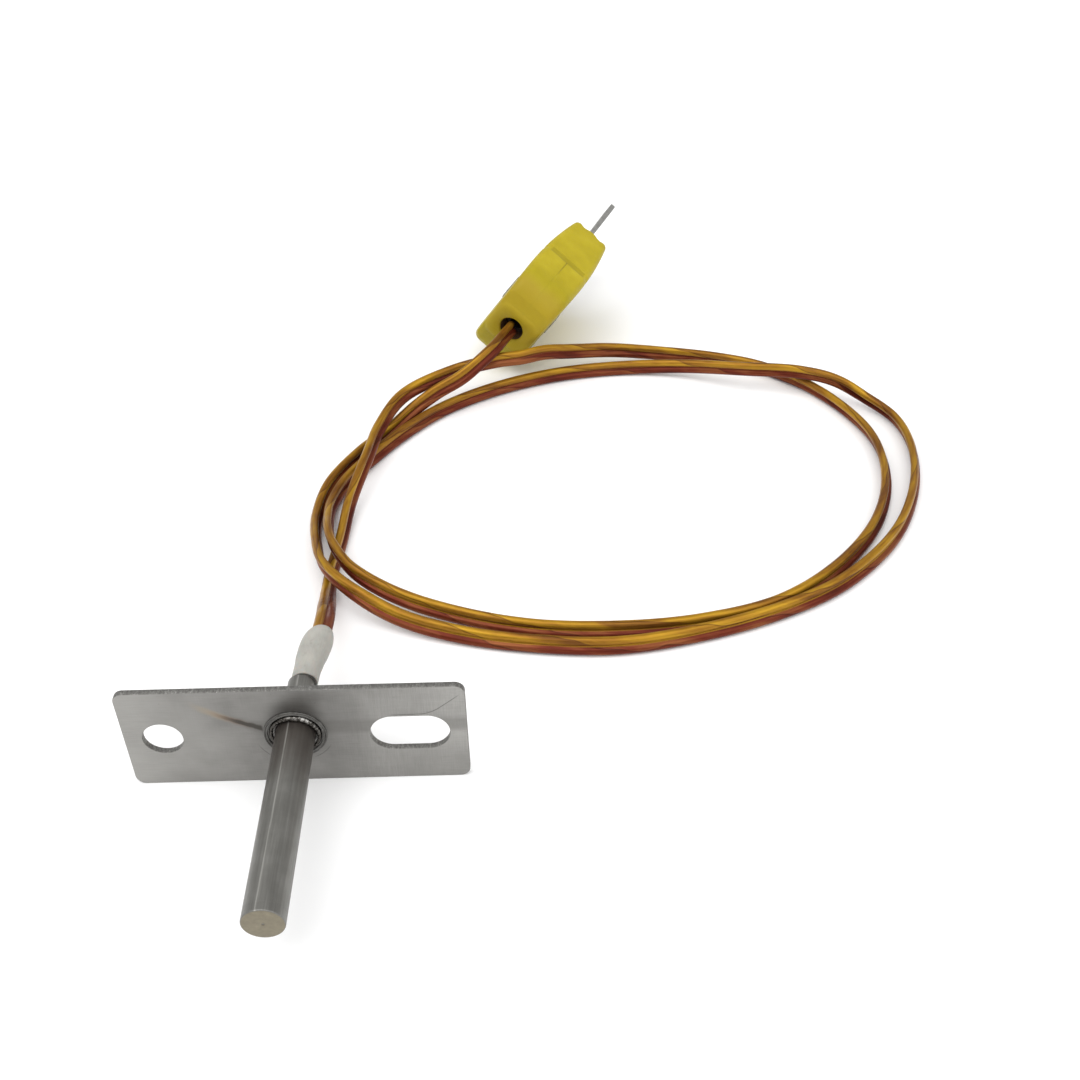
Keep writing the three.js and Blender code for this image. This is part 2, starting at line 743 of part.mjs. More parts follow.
// A flat blade with a rounded tip, and a drilled terminal tab inside the body.
function blade(pole) {
  const half = BLADE_WIDTHS[pole] / 2;
  const nose = 0.9;
  const shape = new THREE.Shape();
  shape.moveTo(-half, BLADE_TAIL);
  shape.lineTo(half, BLADE_TAIL);
  shape.lineTo(half, BLADE_TIP - nose);
  shape.quadraticCurveTo(half * 0.9, BLADE_TIP, 0, BLADE_TIP);
  shape.quadraticCurveTo(-half * 0.9, BLADE_TIP, -half, BLADE_TIP - nose);
  shape.holes.push(roundHole(0, TERMINAL_Y, SCREW_SHANK + 0.06));
  const geometry = plank(shape, -BLADE_THICKNESS / 2, BLADE_THICKNESS);
  geometry.translate(bladeX[pole], 0, 0);
  return geometry;
}

// A cheese-head screw standing along the plug's z, head up, with a driver slot.
function screw(x, y, shank, head, seatZ, footZ, headHeight) {
  const cheese = solid(post(head, x, y, seatZ, seatZ + headHeight));
  const body = cheese.add(solid(post(shank, x, y, footZ, seatZ + 0.1)));
  const slotHalf = head * 0.16;
  const driver = box(x - head - 1, x + head + 1, y - slotHalf, y + slotHalf, seatZ + headHeight * 0.5, 9);
  return geometryOf(body.subtract(solid(driver)));
}

for (const pole of Object.keys(poles)) {
  place(plug, `blade_${pole}`, blade(pole), finish(0x8c8c88, 0.35, 1.0));
  const seat = BLADE_THICKNESS / 2 + 0.02;
  place(
    plug,
    `terminal_screw_${pole}`,
    screw(bladeX[pole], TERMINAL_Y, SCREW_SHANK, SCREW_HEAD, seat, -PLUG_POCKET_DEPTH + 0.1, 0.9),
    dullSteel(),
  );
  const tail = [
    [poles[pole] * 0.5, PLUG_POCKET_START + 0.9, 0],
    [poles[pole] * 1.4, PLUG_POCKET_START + 1.9, 0],
    [poles[pole] * 3.0, PLUG_POCKET_START + 3.1, 0],
    [bladeX[pole], BLADE_TAIL - 0.3, 0],
  ];
  place(plug, `lead_tail_${pole}`, swept(tail, roundSection(WIRE_RADIUS), 8), alloyWire());
}

place(
  plug,
  "cover_screw",
  screw(0, COVER_SCREW_Y, COVER_SHANK, COVER_HEAD, COVER_SEAT + 0.02, -COVER_SEAT - 0.8, 0.75),
  dullSteel(),
);
place(
  plug,
  "cover_nut",
  drilled(solid(post(COVER_NUT, 0, COVER_SCREW_Y, -COVER_SEAT - 0.9, -COVER_SEAT - 0.02, 6)), [
    post(COVER_SHANK + 0.06, 0, COVER_SCREW_Y, -5, 0),
  ]),
  dullSteel(),
);
const grommetRadius = PLUG_LEAD_HOLE - 0.08;
const grommet = pipe(grommetRadius, 1.1, 2.4, PLUG_POCKET_START + 0.4);
place(plug, "cord_grommet", grommet, finish(0x3a2a20, 0.8, 0.0));

export default part;
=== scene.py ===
import json
import math

import bmesh
import bpy
from mathutils import Matrix, Vector, noise


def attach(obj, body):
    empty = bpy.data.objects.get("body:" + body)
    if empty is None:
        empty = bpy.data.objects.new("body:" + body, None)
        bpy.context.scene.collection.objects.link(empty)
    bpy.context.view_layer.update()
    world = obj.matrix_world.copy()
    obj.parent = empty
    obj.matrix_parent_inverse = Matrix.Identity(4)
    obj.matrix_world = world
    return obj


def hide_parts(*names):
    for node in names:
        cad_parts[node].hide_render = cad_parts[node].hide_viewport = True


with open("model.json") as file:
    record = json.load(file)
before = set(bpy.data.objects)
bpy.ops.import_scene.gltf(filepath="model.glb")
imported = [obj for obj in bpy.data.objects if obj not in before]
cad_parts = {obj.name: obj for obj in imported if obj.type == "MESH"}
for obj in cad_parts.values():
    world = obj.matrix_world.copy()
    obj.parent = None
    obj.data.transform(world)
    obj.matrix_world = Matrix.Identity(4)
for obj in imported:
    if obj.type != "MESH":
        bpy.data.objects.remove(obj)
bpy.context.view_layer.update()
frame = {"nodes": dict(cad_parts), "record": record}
scene = bpy.context.scene
MM = 0.001

# ---------- driving dimensions, in millimetres ----------
FRONT_Y = 3.65  # the mounting plate's front face
AXIS_Z = 6.8
SHEATH_R, SHEATH_BORE = 2.0, 1.6
SHEATH_LENGTH, SHEATH_BACK = 22.3, 1.4  # in front of the plate's face, and behind it
TIP_THICKNESS = 1.0
PLATE_W, PLATE_H, PLATE_T, PLATE_CORNER = 34.4, 12.9, 0.7, 1.05
HOLE_X, HOLE_R = -13.3, 2.02
SLOT_X, SLOT_LENGTH, SLOT_R = 11.45, 8.0, 2.3
FIXING_Z = 6.55
PLATE_BORE_R = 2.04
LEAD_WIDTH, LEAD_THICKNESS, LEAD_LENGTH = 2.2, 1.05, 511.0
PLUG_LENGTH, PLUG_HALF_W, PLUG_NOSE, PLUG_SHOULDER = 21.6, 7.9, 3.45, 4.9
PLUG_AT = Vector((21.7, 77.2 + FRONT_Y, 8.45))
PLUG_YAW, PLUG_PITCH, PLUG_ROLL = math.radians(24.5), math.radians(1.1), math.radians(36)
BLOCK_START, GROOVE, GROOVE_DEPTH = 11.5, 1.1, 0.3
LEAD_HOLE = 1.8
PLUG_HALF_T = (3.65, 4.05, 3.05)
BLADE_END_BACK, HOLLOW, HOLLOW_AT = 0.42, 0.36, 1.45
BLADE_PITCH, BLADE_T, BLADE_TIP = 7.9, 0.8, 35.4
BLADE_FROM, BLADE_LEAN, BLADE_ROOT_SHARE = 12.2, 0.42, 0.74
BLADE_WIDTHS = {"positive": 2.4, "negative": 3.2}

# ---------- camera ----------
lens = bpy.data.cameras.new("view")
lens.lens = 43.415
lens.sensor_width = 36
lens.clip_start = 0.01
camera = bpy.data.objects.new("view", lens)
camera.location = (0.02438, -0.08642, 0.10285)
camera.rotation_euler = (math.radians(51.342), math.radians(0.991), math.radians(-1.102))
scene.collection.objects.link(camera)
scene.camera = camera


# ---------- mesh helpers ----------
def piece(name, vertices, faces, uvs=None, marks=None, smooth=True):
    """A mesh object from points in millimetres."""
    mesh = bpy.data.meshes.new(name)
    mesh.from_pydata([Vector(v) * MM for v in vertices], [], faces)
    mesh.polygons.foreach_set("use_smooth", [smooth] * len(mesh.polygons))
    if uvs:
        layer = mesh.uv_layers.new(name="UVMap")
        flat = [c for face in faces for v in face for c in uvs[v]]
        layer.data.foreach_set("uv", flat)
    if marks:
        mesh.polygons.foreach_set("material_index", marks)
    mesh.update()
    made = bpy.data.objects.new(name, mesh)
    scene.collection.objects.link(made)
    return made


def ring_faces(rings, count, close_ends=False):
    """Quads that join successive rings of count points."""
    faces = []
    for r in range(rings - 1):
        for k in range(count):
            a, b = r * count + k, r * count + (k + 1) % count
            faces.append((a, b, b + count, a + count))
    if close_ends:
        faces.append(tuple(range(count - 1, -1, -1)))
        faces.append(tuple(range((rings - 1) * count, rings * count)))
    return faces


def turned(name, profile, count=96, shift=None, wobble=None):
    """A closed profile of (radius, y) turned about the sheath's axis; y from the plate's front face."""
    vertices = []
    for radius, y in profile:
        for k in range(count):
            angle = 2 * math.pi * k / count
            r = radius + (wobble(radius, y, angle) if wobble else 0)
            dx = shift(y) if shift else 0
            vertices.append((dx + r * math.cos(angle), FRONT_Y + y, AXIS_Z + r * math.sin(angle)))
    faces = ring_faces(len(profile), count)
    solid_end = profile[0][0] < 0.02
    if not solid_end:
        last = (len(profile) - 1) * count
        faces += [(last + k, last + (k + 1) % count, (k + 1) % count, k) for k in range(count)]
    made = piece(name, vertices, faces)
    outward(made)
    return made


def outward(obj):
    """Makes the faces point out."""
    mesh = bmesh.new()
    mesh.from_mesh(obj.data)
    bmesh.ops.remove_doubles(mesh, verts=mesh.verts, dist=2e-6)
    bmesh.ops.recalc_face_normals(mesh, faces=mesh.faces)
    mesh.to_mesh(obj.data)
    mesh.free()


def sharp_by_angle(obj, degrees=35):
    mesh = obj.data
    made = bmesh.new()
    made.from_mesh(mesh)
    limit = math.radians(degrees)
    for edge in made.edges:
        if len(edge.link_faces) == 2 and edge.calc_face_angle(0) > limit:
            edge.smooth = False
    made.to_mesh(mesh)
    made.free()


# ---------- node helpers ----------
class Field:
    """A socket that can be added, multiplied and compared, one Math node for each step."""

    def __init__(self, tree, socket):
        self.tree, self.socket = tree, socket

    def math(self, operation, *others, clamp=False):
        node = self.tree.nodes.new("ShaderNodeMath")
        node.operation = operation
        node.use_clamp = clamp
        self.tree.links.new(self.socket, node.inputs[0])
        for index, other in enumerate(others, 1):
            if isinstance(other, Field):
                self.tree.links.new(other.socket, node.inputs[index])
            else:
                node.inputs[index].default_value = other
        return Field(self.tree, node.outputs[0])

    def __add__(self, other):
        return self.math("ADD", other)

    def __sub__(self, other):
        return self.math("SUBTRACT", other)

    def __mul__(self, other):
        return self.math("MULTIPLY", other)

    def __truediv__(self, other):
        return self.math("DIVIDE", other)

    def power(self, other):
        return self.math("POWER", other)

    def absolute(self):
        return self.math("ABSOLUTE")

    def root(self):
        return self.math("SQRT")

    def fraction(self):
        return self.math("FRACT")

    def highest(self, other):
        return self.math("MAXIMUM", other)

    def lowest(self, other):
        return self.math("MINIMUM", other)

    def ease(self, start, end, low=0.0, high=1.0):
        """Goes smoothly from low at start to high at end, and stays there."""
        node = self.tree.nodes.new("ShaderNodeMapRange")
        node.interpolation_type = "SMOOTHSTEP"
        self.tree.links.new(self.socket, node.inputs["Value"])
        names = ("From Min", "From Max", "To Min", "To Max")
        flip = start > end
        values = (end, start, high, low) if flip else (start, end, low, high)
        for name, value in zip(names, values):
            node.inputs[name].default_value = value
        return Field(self.tree, node.outputs["Result"])


class Finish:
    """A Principled material whose patterns are worked out in millimetres on the object."""

    def __init__(self, name, roughness=0.5, metallic=0.0, **sockets):
        self.material = bpy.data.materials.new(name)
        self.material.use_nodes = True
        self.tree = self.material.node_tree
        self.shader = self.tree.nodes["Principled BSDF"]
        self.shader.inputs["Roughness"].default_value = roughness
        self.shader.inputs["Metallic"].default_value = metallic
        for key, value in sockets.items():
            self.shader.inputs[key.replace("_", " ")].default_value = value
        where = self.tree.nodes.new("ShaderNodeTexCoord")
        scale = self.tree.nodes.new("ShaderNodeVectorMath")
        scale.operation = "SCALE"
        scale.inputs["Scale"].default_value = 1 / MM
        self.tree.links.new(where.outputs["Object"], scale.inputs[0])
        self.place = scale.outputs[0]
        split = self.tree.nodes.new("ShaderNodeSeparateXYZ")
        self.tree.links.new(self.place, split.inputs[0])
        self.x, self.y, self.z = (Field(self.tree, split.outputs[k]) for k in range(3))
        self.uv_socket = where.outputs["UV"]
        self.last_bump = None

    def uv(self):
        split = self.tree.nodes.new("ShaderNodeSeparateXYZ")
        self.tree.links.new(self.uv_socket, split.inputs[0])
        return Field(self.tree, split.outputs[0]), Field(self.tree, split.outputs[1])

    def vector(self, x, y, z):
        node = self.tree.nodes.new("ShaderNodeCombineXYZ")
        for index, part in enumerate((x, y, z)):
            if isinstance(part, Field):
                self.tree.links.new(part.socket, node.inputs[index])
            else:
                node.inputs[index].default_value = part
        return node.outputs[0]

    def stretched(self, socket, stretch):
        """The place with each axis multiplied, so that a pattern is drawn out along the small ones."""
        if not stretch:
            return socket
        squeeze = self.tree.nodes.new("ShaderNodeVectorMath")
        squeeze.operation = "MULTIPLY"
        squeeze.inputs[1].default_value = stretch
        self.tree.links.new(socket, squeeze.inputs[0])
        return squeeze.outputs[0]

    def noise(self, scale, detail=3.0, stretch=None, rough=0.5, at=None):
        node = self.tree.nodes.new("ShaderNodeTexNoise")
        node.inputs["Scale"].default_value = scale
        node.inputs["Detail"].default_value = detail
        node.inputs["Roughness"].default_value = rough
        self.tree.links.new(self.stretched(at or self.place, stretch), node.inputs["Vector"])
        return Field(self.tree, node.outputs[0])

    def cells(self, scale, stretch=None):
        node = self.tree.nodes.new("ShaderNodeTexVoronoi")
        node.inputs["Scale"].default_value = scale
        self.tree.links.new(self.stretched(self.place, stretch), node.inputs["Vector"])
        return Field(self.tree, node.outputs["Distance"])

    def blend(self, amount, first, second):
        """Colour from first to second as amount goes from 0 to 1."""
        node = self.tree.nodes.new("ShaderNodeMix")
        node.data_type = "RGBA"
        self.tree.links.new(amount.socket, node.inputs[0])
        for index, part in ((6, first), (7, second)):
            if isinstance(part, tuple):
                node.inputs[index].default_value = (*part, 1.0)
            else:
                self.tree.links.new(part, node.inputs[index])
        return node.outputs[2]

    def ramp(self, amount, *stops):
        """Colour that runs through (position, colour) stops."""
        node = self.tree.nodes.new("ShaderNodeValToRGB")
        elements = node.color_ramp.elements
        while len(elements) < len(stops):
            elements.new(0.5)
        for element, (position, colour) in zip(elements, stops):
            element.position = position
            element.color = (*colour, 1.0)
        self.tree.links.new(amount.socket, node.inputs[0])
        return node.outputs[0]

    def colour(self, socket):
        self.tree.links.new(socket, self.shader.inputs["Base Color"])

    def rough(self, field):
        self.tree.links.new(field.socket, self.shader.inputs["Roughness"])

    def bump(self, height, distance):
        """Adds a bump; distance is the real height in millimetres of one unit."""
        node = self.tree.nodes.new("ShaderNodeBump")
        node.inputs["Distance"].default_value = distance * MM
        self.tree.links.new(height.socket, node.inputs["Height"])
        if self.last_bump:
            self.tree.links.new(self.last_bump, node.inputs["Normal"])
        self.last_bump = node.outputs[0]
        self.tree.links.new(self.last_bump, self.shader.inputs["Normal"])


def grainy(name, roughness, low, high, scale, detail, depth):
    """A matt finish mottled from one colour to another, with the same grain in relief."""
    finish = Finish(name, roughness=roughness)
    tone = finish.noise(scale, detail)
    finish.colour(finish.ramp(tone, (0.3, low), (0.7, high)))
    finish.bump(tone, depth)
    return finish


def coat(obj, *finishes):
    """Gives an object these finishes, in the order of its material slots."""
    for index, finish in enumerate(finishes):
        if index < len(obj.data.materials):
            obj.data.materials[index] = finish.material
        else:
            obj.data.materials.append(finish.material)


def stand_in(obj, node, slot, *finishes):
    """Coats a piece that rides the root body and is seen instead of a CAD node."""
    coat(obj, *finishes)
    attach(obj, "root")
    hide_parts(node)


# ---------- lead ----------
# The lead's centre line from the sleeve to the plug, measured from the plate's front face.
LEAD_ROUTE = [
    (0.95, 15.3, 6.75),
    (0.9, 18.0, 6.1),
    (0.5, 21.3, 4.5),
    (0.05, 24.8, 2.6),
    (-0.3, 27.9, 1.4),
    (-0.4, 31.0, 1.2),
    (0.2, 38.5, 1.2),
    (0.8, 45.5, 2.05),
    (2.5, 53.2, 3.52),
    (3.6, 59.8, 3.65),
    (6.5, 66.4, 4.4),
    (13.0, 71.1, 5.1),
    (19.5, 72.5, 6.05),
    (23.2, 73.2, 6.1),
    (26.4, 74.9, 5.8),
    (30.5, 77.1, 4.6),
    (36.5, 79.7, 3.1),
    (43.7, 81.1, 1.6),
    (51.0, 80.1, 1.2),
    (58.0, 77.3, 1.2),
    (64.1, 72.2, 1.2),
    (68.8, 65.0, 1.2),
    (71.3, 57.5, 1.2),
    (71.0, 48.5, 1.2),
    (67.6, 38.9, 1.2),
    (61.1, 30.3, 1.2),
    (53.0, 24.1, 1.2),
    (43.5, 21.1, 1.2),
    (34.0, 20.2, 1.2),
    (24.0, 20.9, 1.2),
    (14.9, 23.4, 1.37),
    (8.0, 25.8, 2.39),
    (2.9, 29.0, 3.52),
    (0.0, 33.7, 3.63),
    (-1.1, 37.3, 3.3),
    (-1.6, 41.0, 2.3),
    (-1.7, 45.3, 1.45),
    (-0.3, 50.7, 1.2),
    (2.8, 56.2, 1.2),
    (6.6, 61.9, 1.2),
    (12.1, 67.9, 1.2),
    (19.9, 73.0, 1.2),
    (29.0, 76.4, 1.2),
    (38.5, 77.7, 1.2),
    (47.0, 76.5, 1.94),
    (55.5, 72.7, 3.52),
    (63.5, 71.3, 3.58),
    (68.1, 69.3, 3.29),
    (72.0, 67.0, 1.82),
    (75.3, 62.4, 1.2),
    (76.0, 55.5, 1.2),
    (74.1, 46.0, 1.2),
    (69.2, 36.0, 1.2),
    (61.1, 27.5, 1.2),
    (52.5, 22.6, 1.2),
    (43.0, 19.3, 1.2),
    (33.8, 17.6, 1.2),
    (25.0, 18.1, 1.2),
    (16.0, 19.9, 1.26),
    (8.4, 22.4, 2.05),
    (2.75, 25.6, 3.62),
    (-0.9, 30.2, 3.63),
    (-2.5, 35.8, 2.55),
    (-3.4, 43.0, 1.2),
    (-2.5, 49.8, 1.2),
    (0.8, 56.8, 1.2),
    (4.0, 61.4, 1.2),
    (8.1, 66.3, 2.45),
    (11.1, 67.5, 4.15),
    (14.6, 68.5, 5.8),
    (17.5, 70.0, 7.6),
    (19.5, 72.3, 8.42),
    (20.8, 75.1, 8.5),
    (21.95, 77.7, 8.45),
]


def flowing(points, step):
    """A smooth line through the points, as a centripetal spline, in steps of about step."""
    ends = [points[0] * 2 - points[1], *points, points[-1] * 2 - points[-2]]
    line = []
    for a, b, c, d in zip(ends, ends[1:], ends[2:], ends[3:]):
        knots = [0.0]
        for p, q in ((a, b), (b, c), (c, d)):
            knots.append(knots[-1] + math.sqrt((q - p).length))
        t0, t1, t2, t3 = knots
        count = max(2, round((c - b).length / step))
        for k in range(count):
            t = t1 + (t2 - t1) * k / count
            ab = a.lerp(b, (t - t0) / (t1 - t0))
            bc = b.lerp(c, (t - t1) / (t2 - t1))
            cd = c.lerp(d, (t - t2) / (t3 - t2))
            abc = ab.lerp(bc, (t - t0) / (t2 - t0))
            bcd = bc.lerp(cd, (t - t1) / (t3 - t1))
            line.append(abc.lerp(bcd, (t - t1) / (t2 - t1)))
    return [*line, points[-1].copy()]


lead_points = [Vector((x, y + FRONT_Y, z)) for x, y, z in LEAD_ROUTE]
lead_line = flowing(lead_points, 0.5)

# Section of the pair: one nearly round leg above the other.
LEG_SIDES = 16
LEG_R = LEAD_THICKNESS / 2 - 0.005
LEG_HIGH = LEAD_WIDTH / 2 - LEG_R - 0.01


def leg_section(side):
    """Points of one leg's outline, from the waist round and back to the waist."""
    section = []
    opening = math.radians(26)
    for k in range(LEG_SIDES):
        angle = -math.pi / 2 + opening + (2 * math.pi - 2 * opening) * k / (LEG_SIDES - 1)
        across = LEG_R * math.cos(angle)
        high = LEG_HIGH + LEG_R * math.sin(angle)
        section.append((across * side, high * side))
    return section


lead_section = leg_section(1) + leg_section(-1)


LEAN_LEFT, LEAN_BACK = 0.33, 0.5  # sideways for each unit up; the second at the front only
FRONT_FROM, FRONT_FADE, LEAN_OVER = 48.0, 20.0, 80.0
SLEEVE_TURN, SLEEVE_TURN_OVER = math.radians(-50), 15.0
INTO_SLEEVE = 0.9


def lead_mesh():
    vertices, uvs = [], []
    count = len(lead_section)
    travelled = 0.0
    # the pair starts a little way inside the sleeve
    inside = lead_line[0] + (lead_line[0] - lead_line[1]).normalized() * INTO_SLEEVE
    line = [inside, *lead_line]
    last = line[0]
    for index, centre in enumerate(line):
        before = line[max(0, index - 1)]
        after = line[min(len(line) - 1, index + 1)]
        along = (after - before).normalized()
        travelled += (centre - last).length
        last = centre
        # the front strands lean back, and the others stand nearly on edge
        at_front = max(0.0, min(1.0, (FRONT_FROM - centre.y) / FRONT_FADE))
        lean_back = LEAN_BACK * at_front * min(1.0, travelled / LEAN_OVER)
        across = along.cross(Vector((-LEAN_LEFT, lean_back, 1))).normalized()
        up = across.cross(along).normalized()
        # the pair turns on edge within the first few centimetres, and wanders a little after that
        twist = SLEEVE_TURN * math.exp(-((travelled / SLEEVE_TURN_OVER) ** 4))
        twist += math.radians(4) * math.sin(travelled / 17.0) + math.radians(3) * math.sin(travelled / 7.3)
        turn = Matrix.Rotation(twist, 3, along)
        across, up = turn @ across, turn @ up
        for k, (a, h) in enumerate(lead_section):
            swell = 1 + 0.012 * noise.noise(Vector((travelled * 0.35, k * 0.15, 3.0)))
            vertices.append(centre + across * a * swell + up * h * swell)
            uvs.append(((k % LEG_SIDES) / (LEG_SIDES - 1), travelled / 10))
    # the upper leg takes the first finish and the lower leg the second
    marks = [int(k >= LEG_SIDES) for _ in line[1:] for k in range(count)] + [0, 0]
    made = piece("lead_pair", vertices, ring_faces(len(line), count, close_ends=True), uvs, marks)
    outward(made)
    return made


lead = lead_mesh()


def film(name, dark, body, bright, seam):
    """Glossy film wound in a very long spiral over a leg, with the layer below showing in patches."""
    finish = Finish(name, roughness=0.4, metallic=0.46, Coat_Weight=0.03, Coat_Roughness=0.2)
    finish.shader.inputs["Specular IOR Level"].default_value = 0.15
    around, along = finish.uv()
    turn = around + along * 0.62 + finish.noise(0.12, 2.0) * 0.9
    lap = turn.fraction()
    edge = (lap - 0.5).absolute().ease(0.455, 0.495)
    patch = finish.noise(1.0, 3.0, at=finish.vector(turn * 1.3, along * 0.9, 0.0))
    streak = finish.noise(1.0, 3.0, rough=0.6, at=finish.vector(around * 9.0, along * 1.1, 4.0))
    wrinkled = finish.vector(around * 7.0 + along * 3.0, along * 9.0, 9.0)
    crinkle = finish.noise(1.0, 4.0, rough=0.65, at=wrinkled)
    tone = patch * 0.5 + streak * 0.3 + lap * 0.1 + crinkle * 0.1
    shade = finish.ramp(tone, (0.38, dark), (0.48, body), (0.6, bright))
    finish.colour(finish.blend(edge * 0.6, shade, seam))
    finish.rough(crinkle.ease(0.3, 0.7, 0.28, 0.46))
    finish.bump(lap + edge * -0.35, 0.025)
    finish.bump(streak, 0.03)
    finish.bump(crinkle, 0.01)
    return finish


amber = film(
    "amber_film",
    dark=(0.15, 0.056, 0.01),
    body=(0.275, 0.125, 0.012),
    bright=(0.43, 0.235, 0.016),
    seam=(0.085, 0.03, 0.007),
)
red = film(
    "red_film",
    dark=(0.065, 0.01, 0.004),
    body=(0.125, 0.02, 0.008),
    bright=(0.22, 0.07, 0.022),
    seam=(0.045, 0.009, 0.004),
)
stand_in(lead, "lead_cable", "amber_film", amber, red)


# ---------- steel ----------
def plate_finish():
    """Rolled sheet: brushed both ways, scuffed, pitted, with scratches and a welder's heat tint."""
    finish = Finish("brushed_plate", metallic=0.7)
    x, z = finish.x, finish.z
    lengthwise = finish.noise(1.0, 4.0, stretch=(0.5, 1.0, 11.0), rough=0.65)
    crosswise = finish.noise(1.0, 4.0, stretch=(13.0, 1.0, 0.45), rough=0.65)
    broad = finish.noise(0.22, 3.0)
    near_end = x.absolute().ease(11.0, 16.0)
    right_half = x.ease(3.0, 9.0)
    hatch = crosswise * (right_half * 0.55 + 0.2) + lengthwise * (near_end * 0.35 + 0.35)
    tone = hatch * 0.55 + broad * 0.45
    dark, middle, bright = (0.185, 0.18, 0.17), (0.27, 0.264, 0.25), (0.36, 0.353, 0.335)
    base = finish.ramp(tone, (0.28, dark), (0.5, middle), (0.74, bright))
    # painted light over the left end, and painted shade over the lower right
    base = finish.blend(x.ease(-3.0, -16.0) * 0.3, base, (0.4, 0.392, 0.37))
    base = finish.blend(x.ease(6.0, 16.0) * z.ease(7.0, 2.0) * 0.4, base, (0.17, 0.166, 0.155))
    # soot and shade of the weld above the ring
    from_axis = (x.power(2.0) + (z - AXIS_Z).power(2.0)).root()
    above = (((x - 0.2) * 0.55).power(2.0) + ((z - AXIS_Z - 3.0) * 0.75).power(2.0)).root()
    soot_and_shade = above.ease(2.0, 0.3) * 0.62
    base = finish.blend(soot_and_shade, base, (0.055, 0.05, 0.045))
    # painted shade on the plate round the ring
    shade_round_ring = from_axis.ease(4.6, 3.0) * 0.22
    base = finish.blend(shade_round_ring, base, (0.115, 0.11, 0.105))
    # heat tint running out from the ring's left side
    run = (x * -1.0 - 3.0).highest(0.0)
    off = (z - (run * 0.36 + run.power(2.0) * 0.0235 + 7.72)).absolute()
    fray = finish.noise(1.3, 3.0) * 0.3 - 0.15
    wedge = (off + fray) / (run * -0.06 + 0.56).highest(0.2)
    in_front = finish.y.ease(FRONT_Y + 0.3, FRONT_Y + 0.1)
    core = wedge.ease(1.0, 0.35) * (x * -1.0).ease(3.0, 3.3) * run.ease(4.6, 2.2) * in_front
    brown = wedge.ease(1.5, 0.4) * run.ease(0.6, 2.6) * run.ease(5.6, 3.4) * in_front
    straw = (off + fray).ease(0.75, 0.1) * run.ease(2.2, 4.2) * run.ease(7.4, 4.6) * in_front
    smoke = wedge.ease(2.3, 0.8) * run.ease(5.0, 0.5) * in_front
    base = finish.blend(smoke * 0.4, base, (0.12, 0.115, 0.105))
    base = finish.blend(straw * 0.6, base, (0.33, 0.27, 0.19))
    base = finish.blend(brown * 0.6, base, (0.18, 0.115, 0.08))
    base = finish.blend(core * 0.9, base, (0.045, 0.04, 0.033))
    # scratches: a long curved one over the slot, fine arcs beside the ring, short ones everywhere
    rise = (x - 9.4).highest(0.0)
    bend = (x - 12.6).highest(0.0).power(2.0) * 0.2
    straighten = (x - 14.6).highest(0.0).power(2.0) * 0.19
    long_line = rise * 0.02 + bend - straighten + 9.12
    long_scratch = (z - long_line).absolute().ease(0.07, 0.01) * x.ease(9.4, 10.2) * x.ease(16.8, 16.0)
    arc = (from_axis - 4.15).absolute().ease(0.07, 0.01) * x.ease(-2.2, -3.0) * z.ease(5.6, 4.6)
    arc_two = (from_axis - 3.75).absolute().ease(0.06, 0.01) * x.ease(1.2, 2.0) * z.ease(5.3, 4.5)
    fine = finish.cells(0.55, stretch=(0.25, 1.0, 2.6)).ease(0.035, 0.0)
    fine = fine * finish.noise(0.5, 1.0).ease(0.5, 0.62)
    pits = finish.cells(1.05).ease(0.085, 0.03) * finish.noise(0.35, 2.0).ease(0.52, 0.64)
    lines = long_scratch * 0.75 + arc * 0.6 + arc_two * 0.6 + fine * 0.5 + pits * 0.7
    lines = lines.lowest(1.0)
    finish.colour(finish.blend(lines, base, (0.07, 0.067, 0.062)))
    finish.rough(tone.ease(0.3, 0.7, 0.42, 0.56))
    finish.bump(hatch, 0.018)
    finish.bump(lines * -1.0, 0.03)
    return finish


def sheared_finish():
    """Sheared and punched edges: coarse, with small bright tears."""
    finish = Finish("sheared_edge", metallic=0.85)
    tear = finish.noise(1.0, 3.0, stretch=(5.0, 2.0, 5.0), rough=0.6)
    grit = finish.noise(9.0, 3.0, rough=0.7)
    tone = tear * 0.5 + grit * 0.5
    dark, middle, bright = (0.12, 0.117, 0.109), (0.2, 0.196, 0.184), (0.38, 0.372, 0.354)
    finish.colour(finish.ramp(tone, (0.38, dark), (0.54, middle), (0.68, bright)))
    finish.rough(tone.ease(0.35, 0.65, 0.6, 0.42))
    finish.bump(tone, 0.06)
    return finish


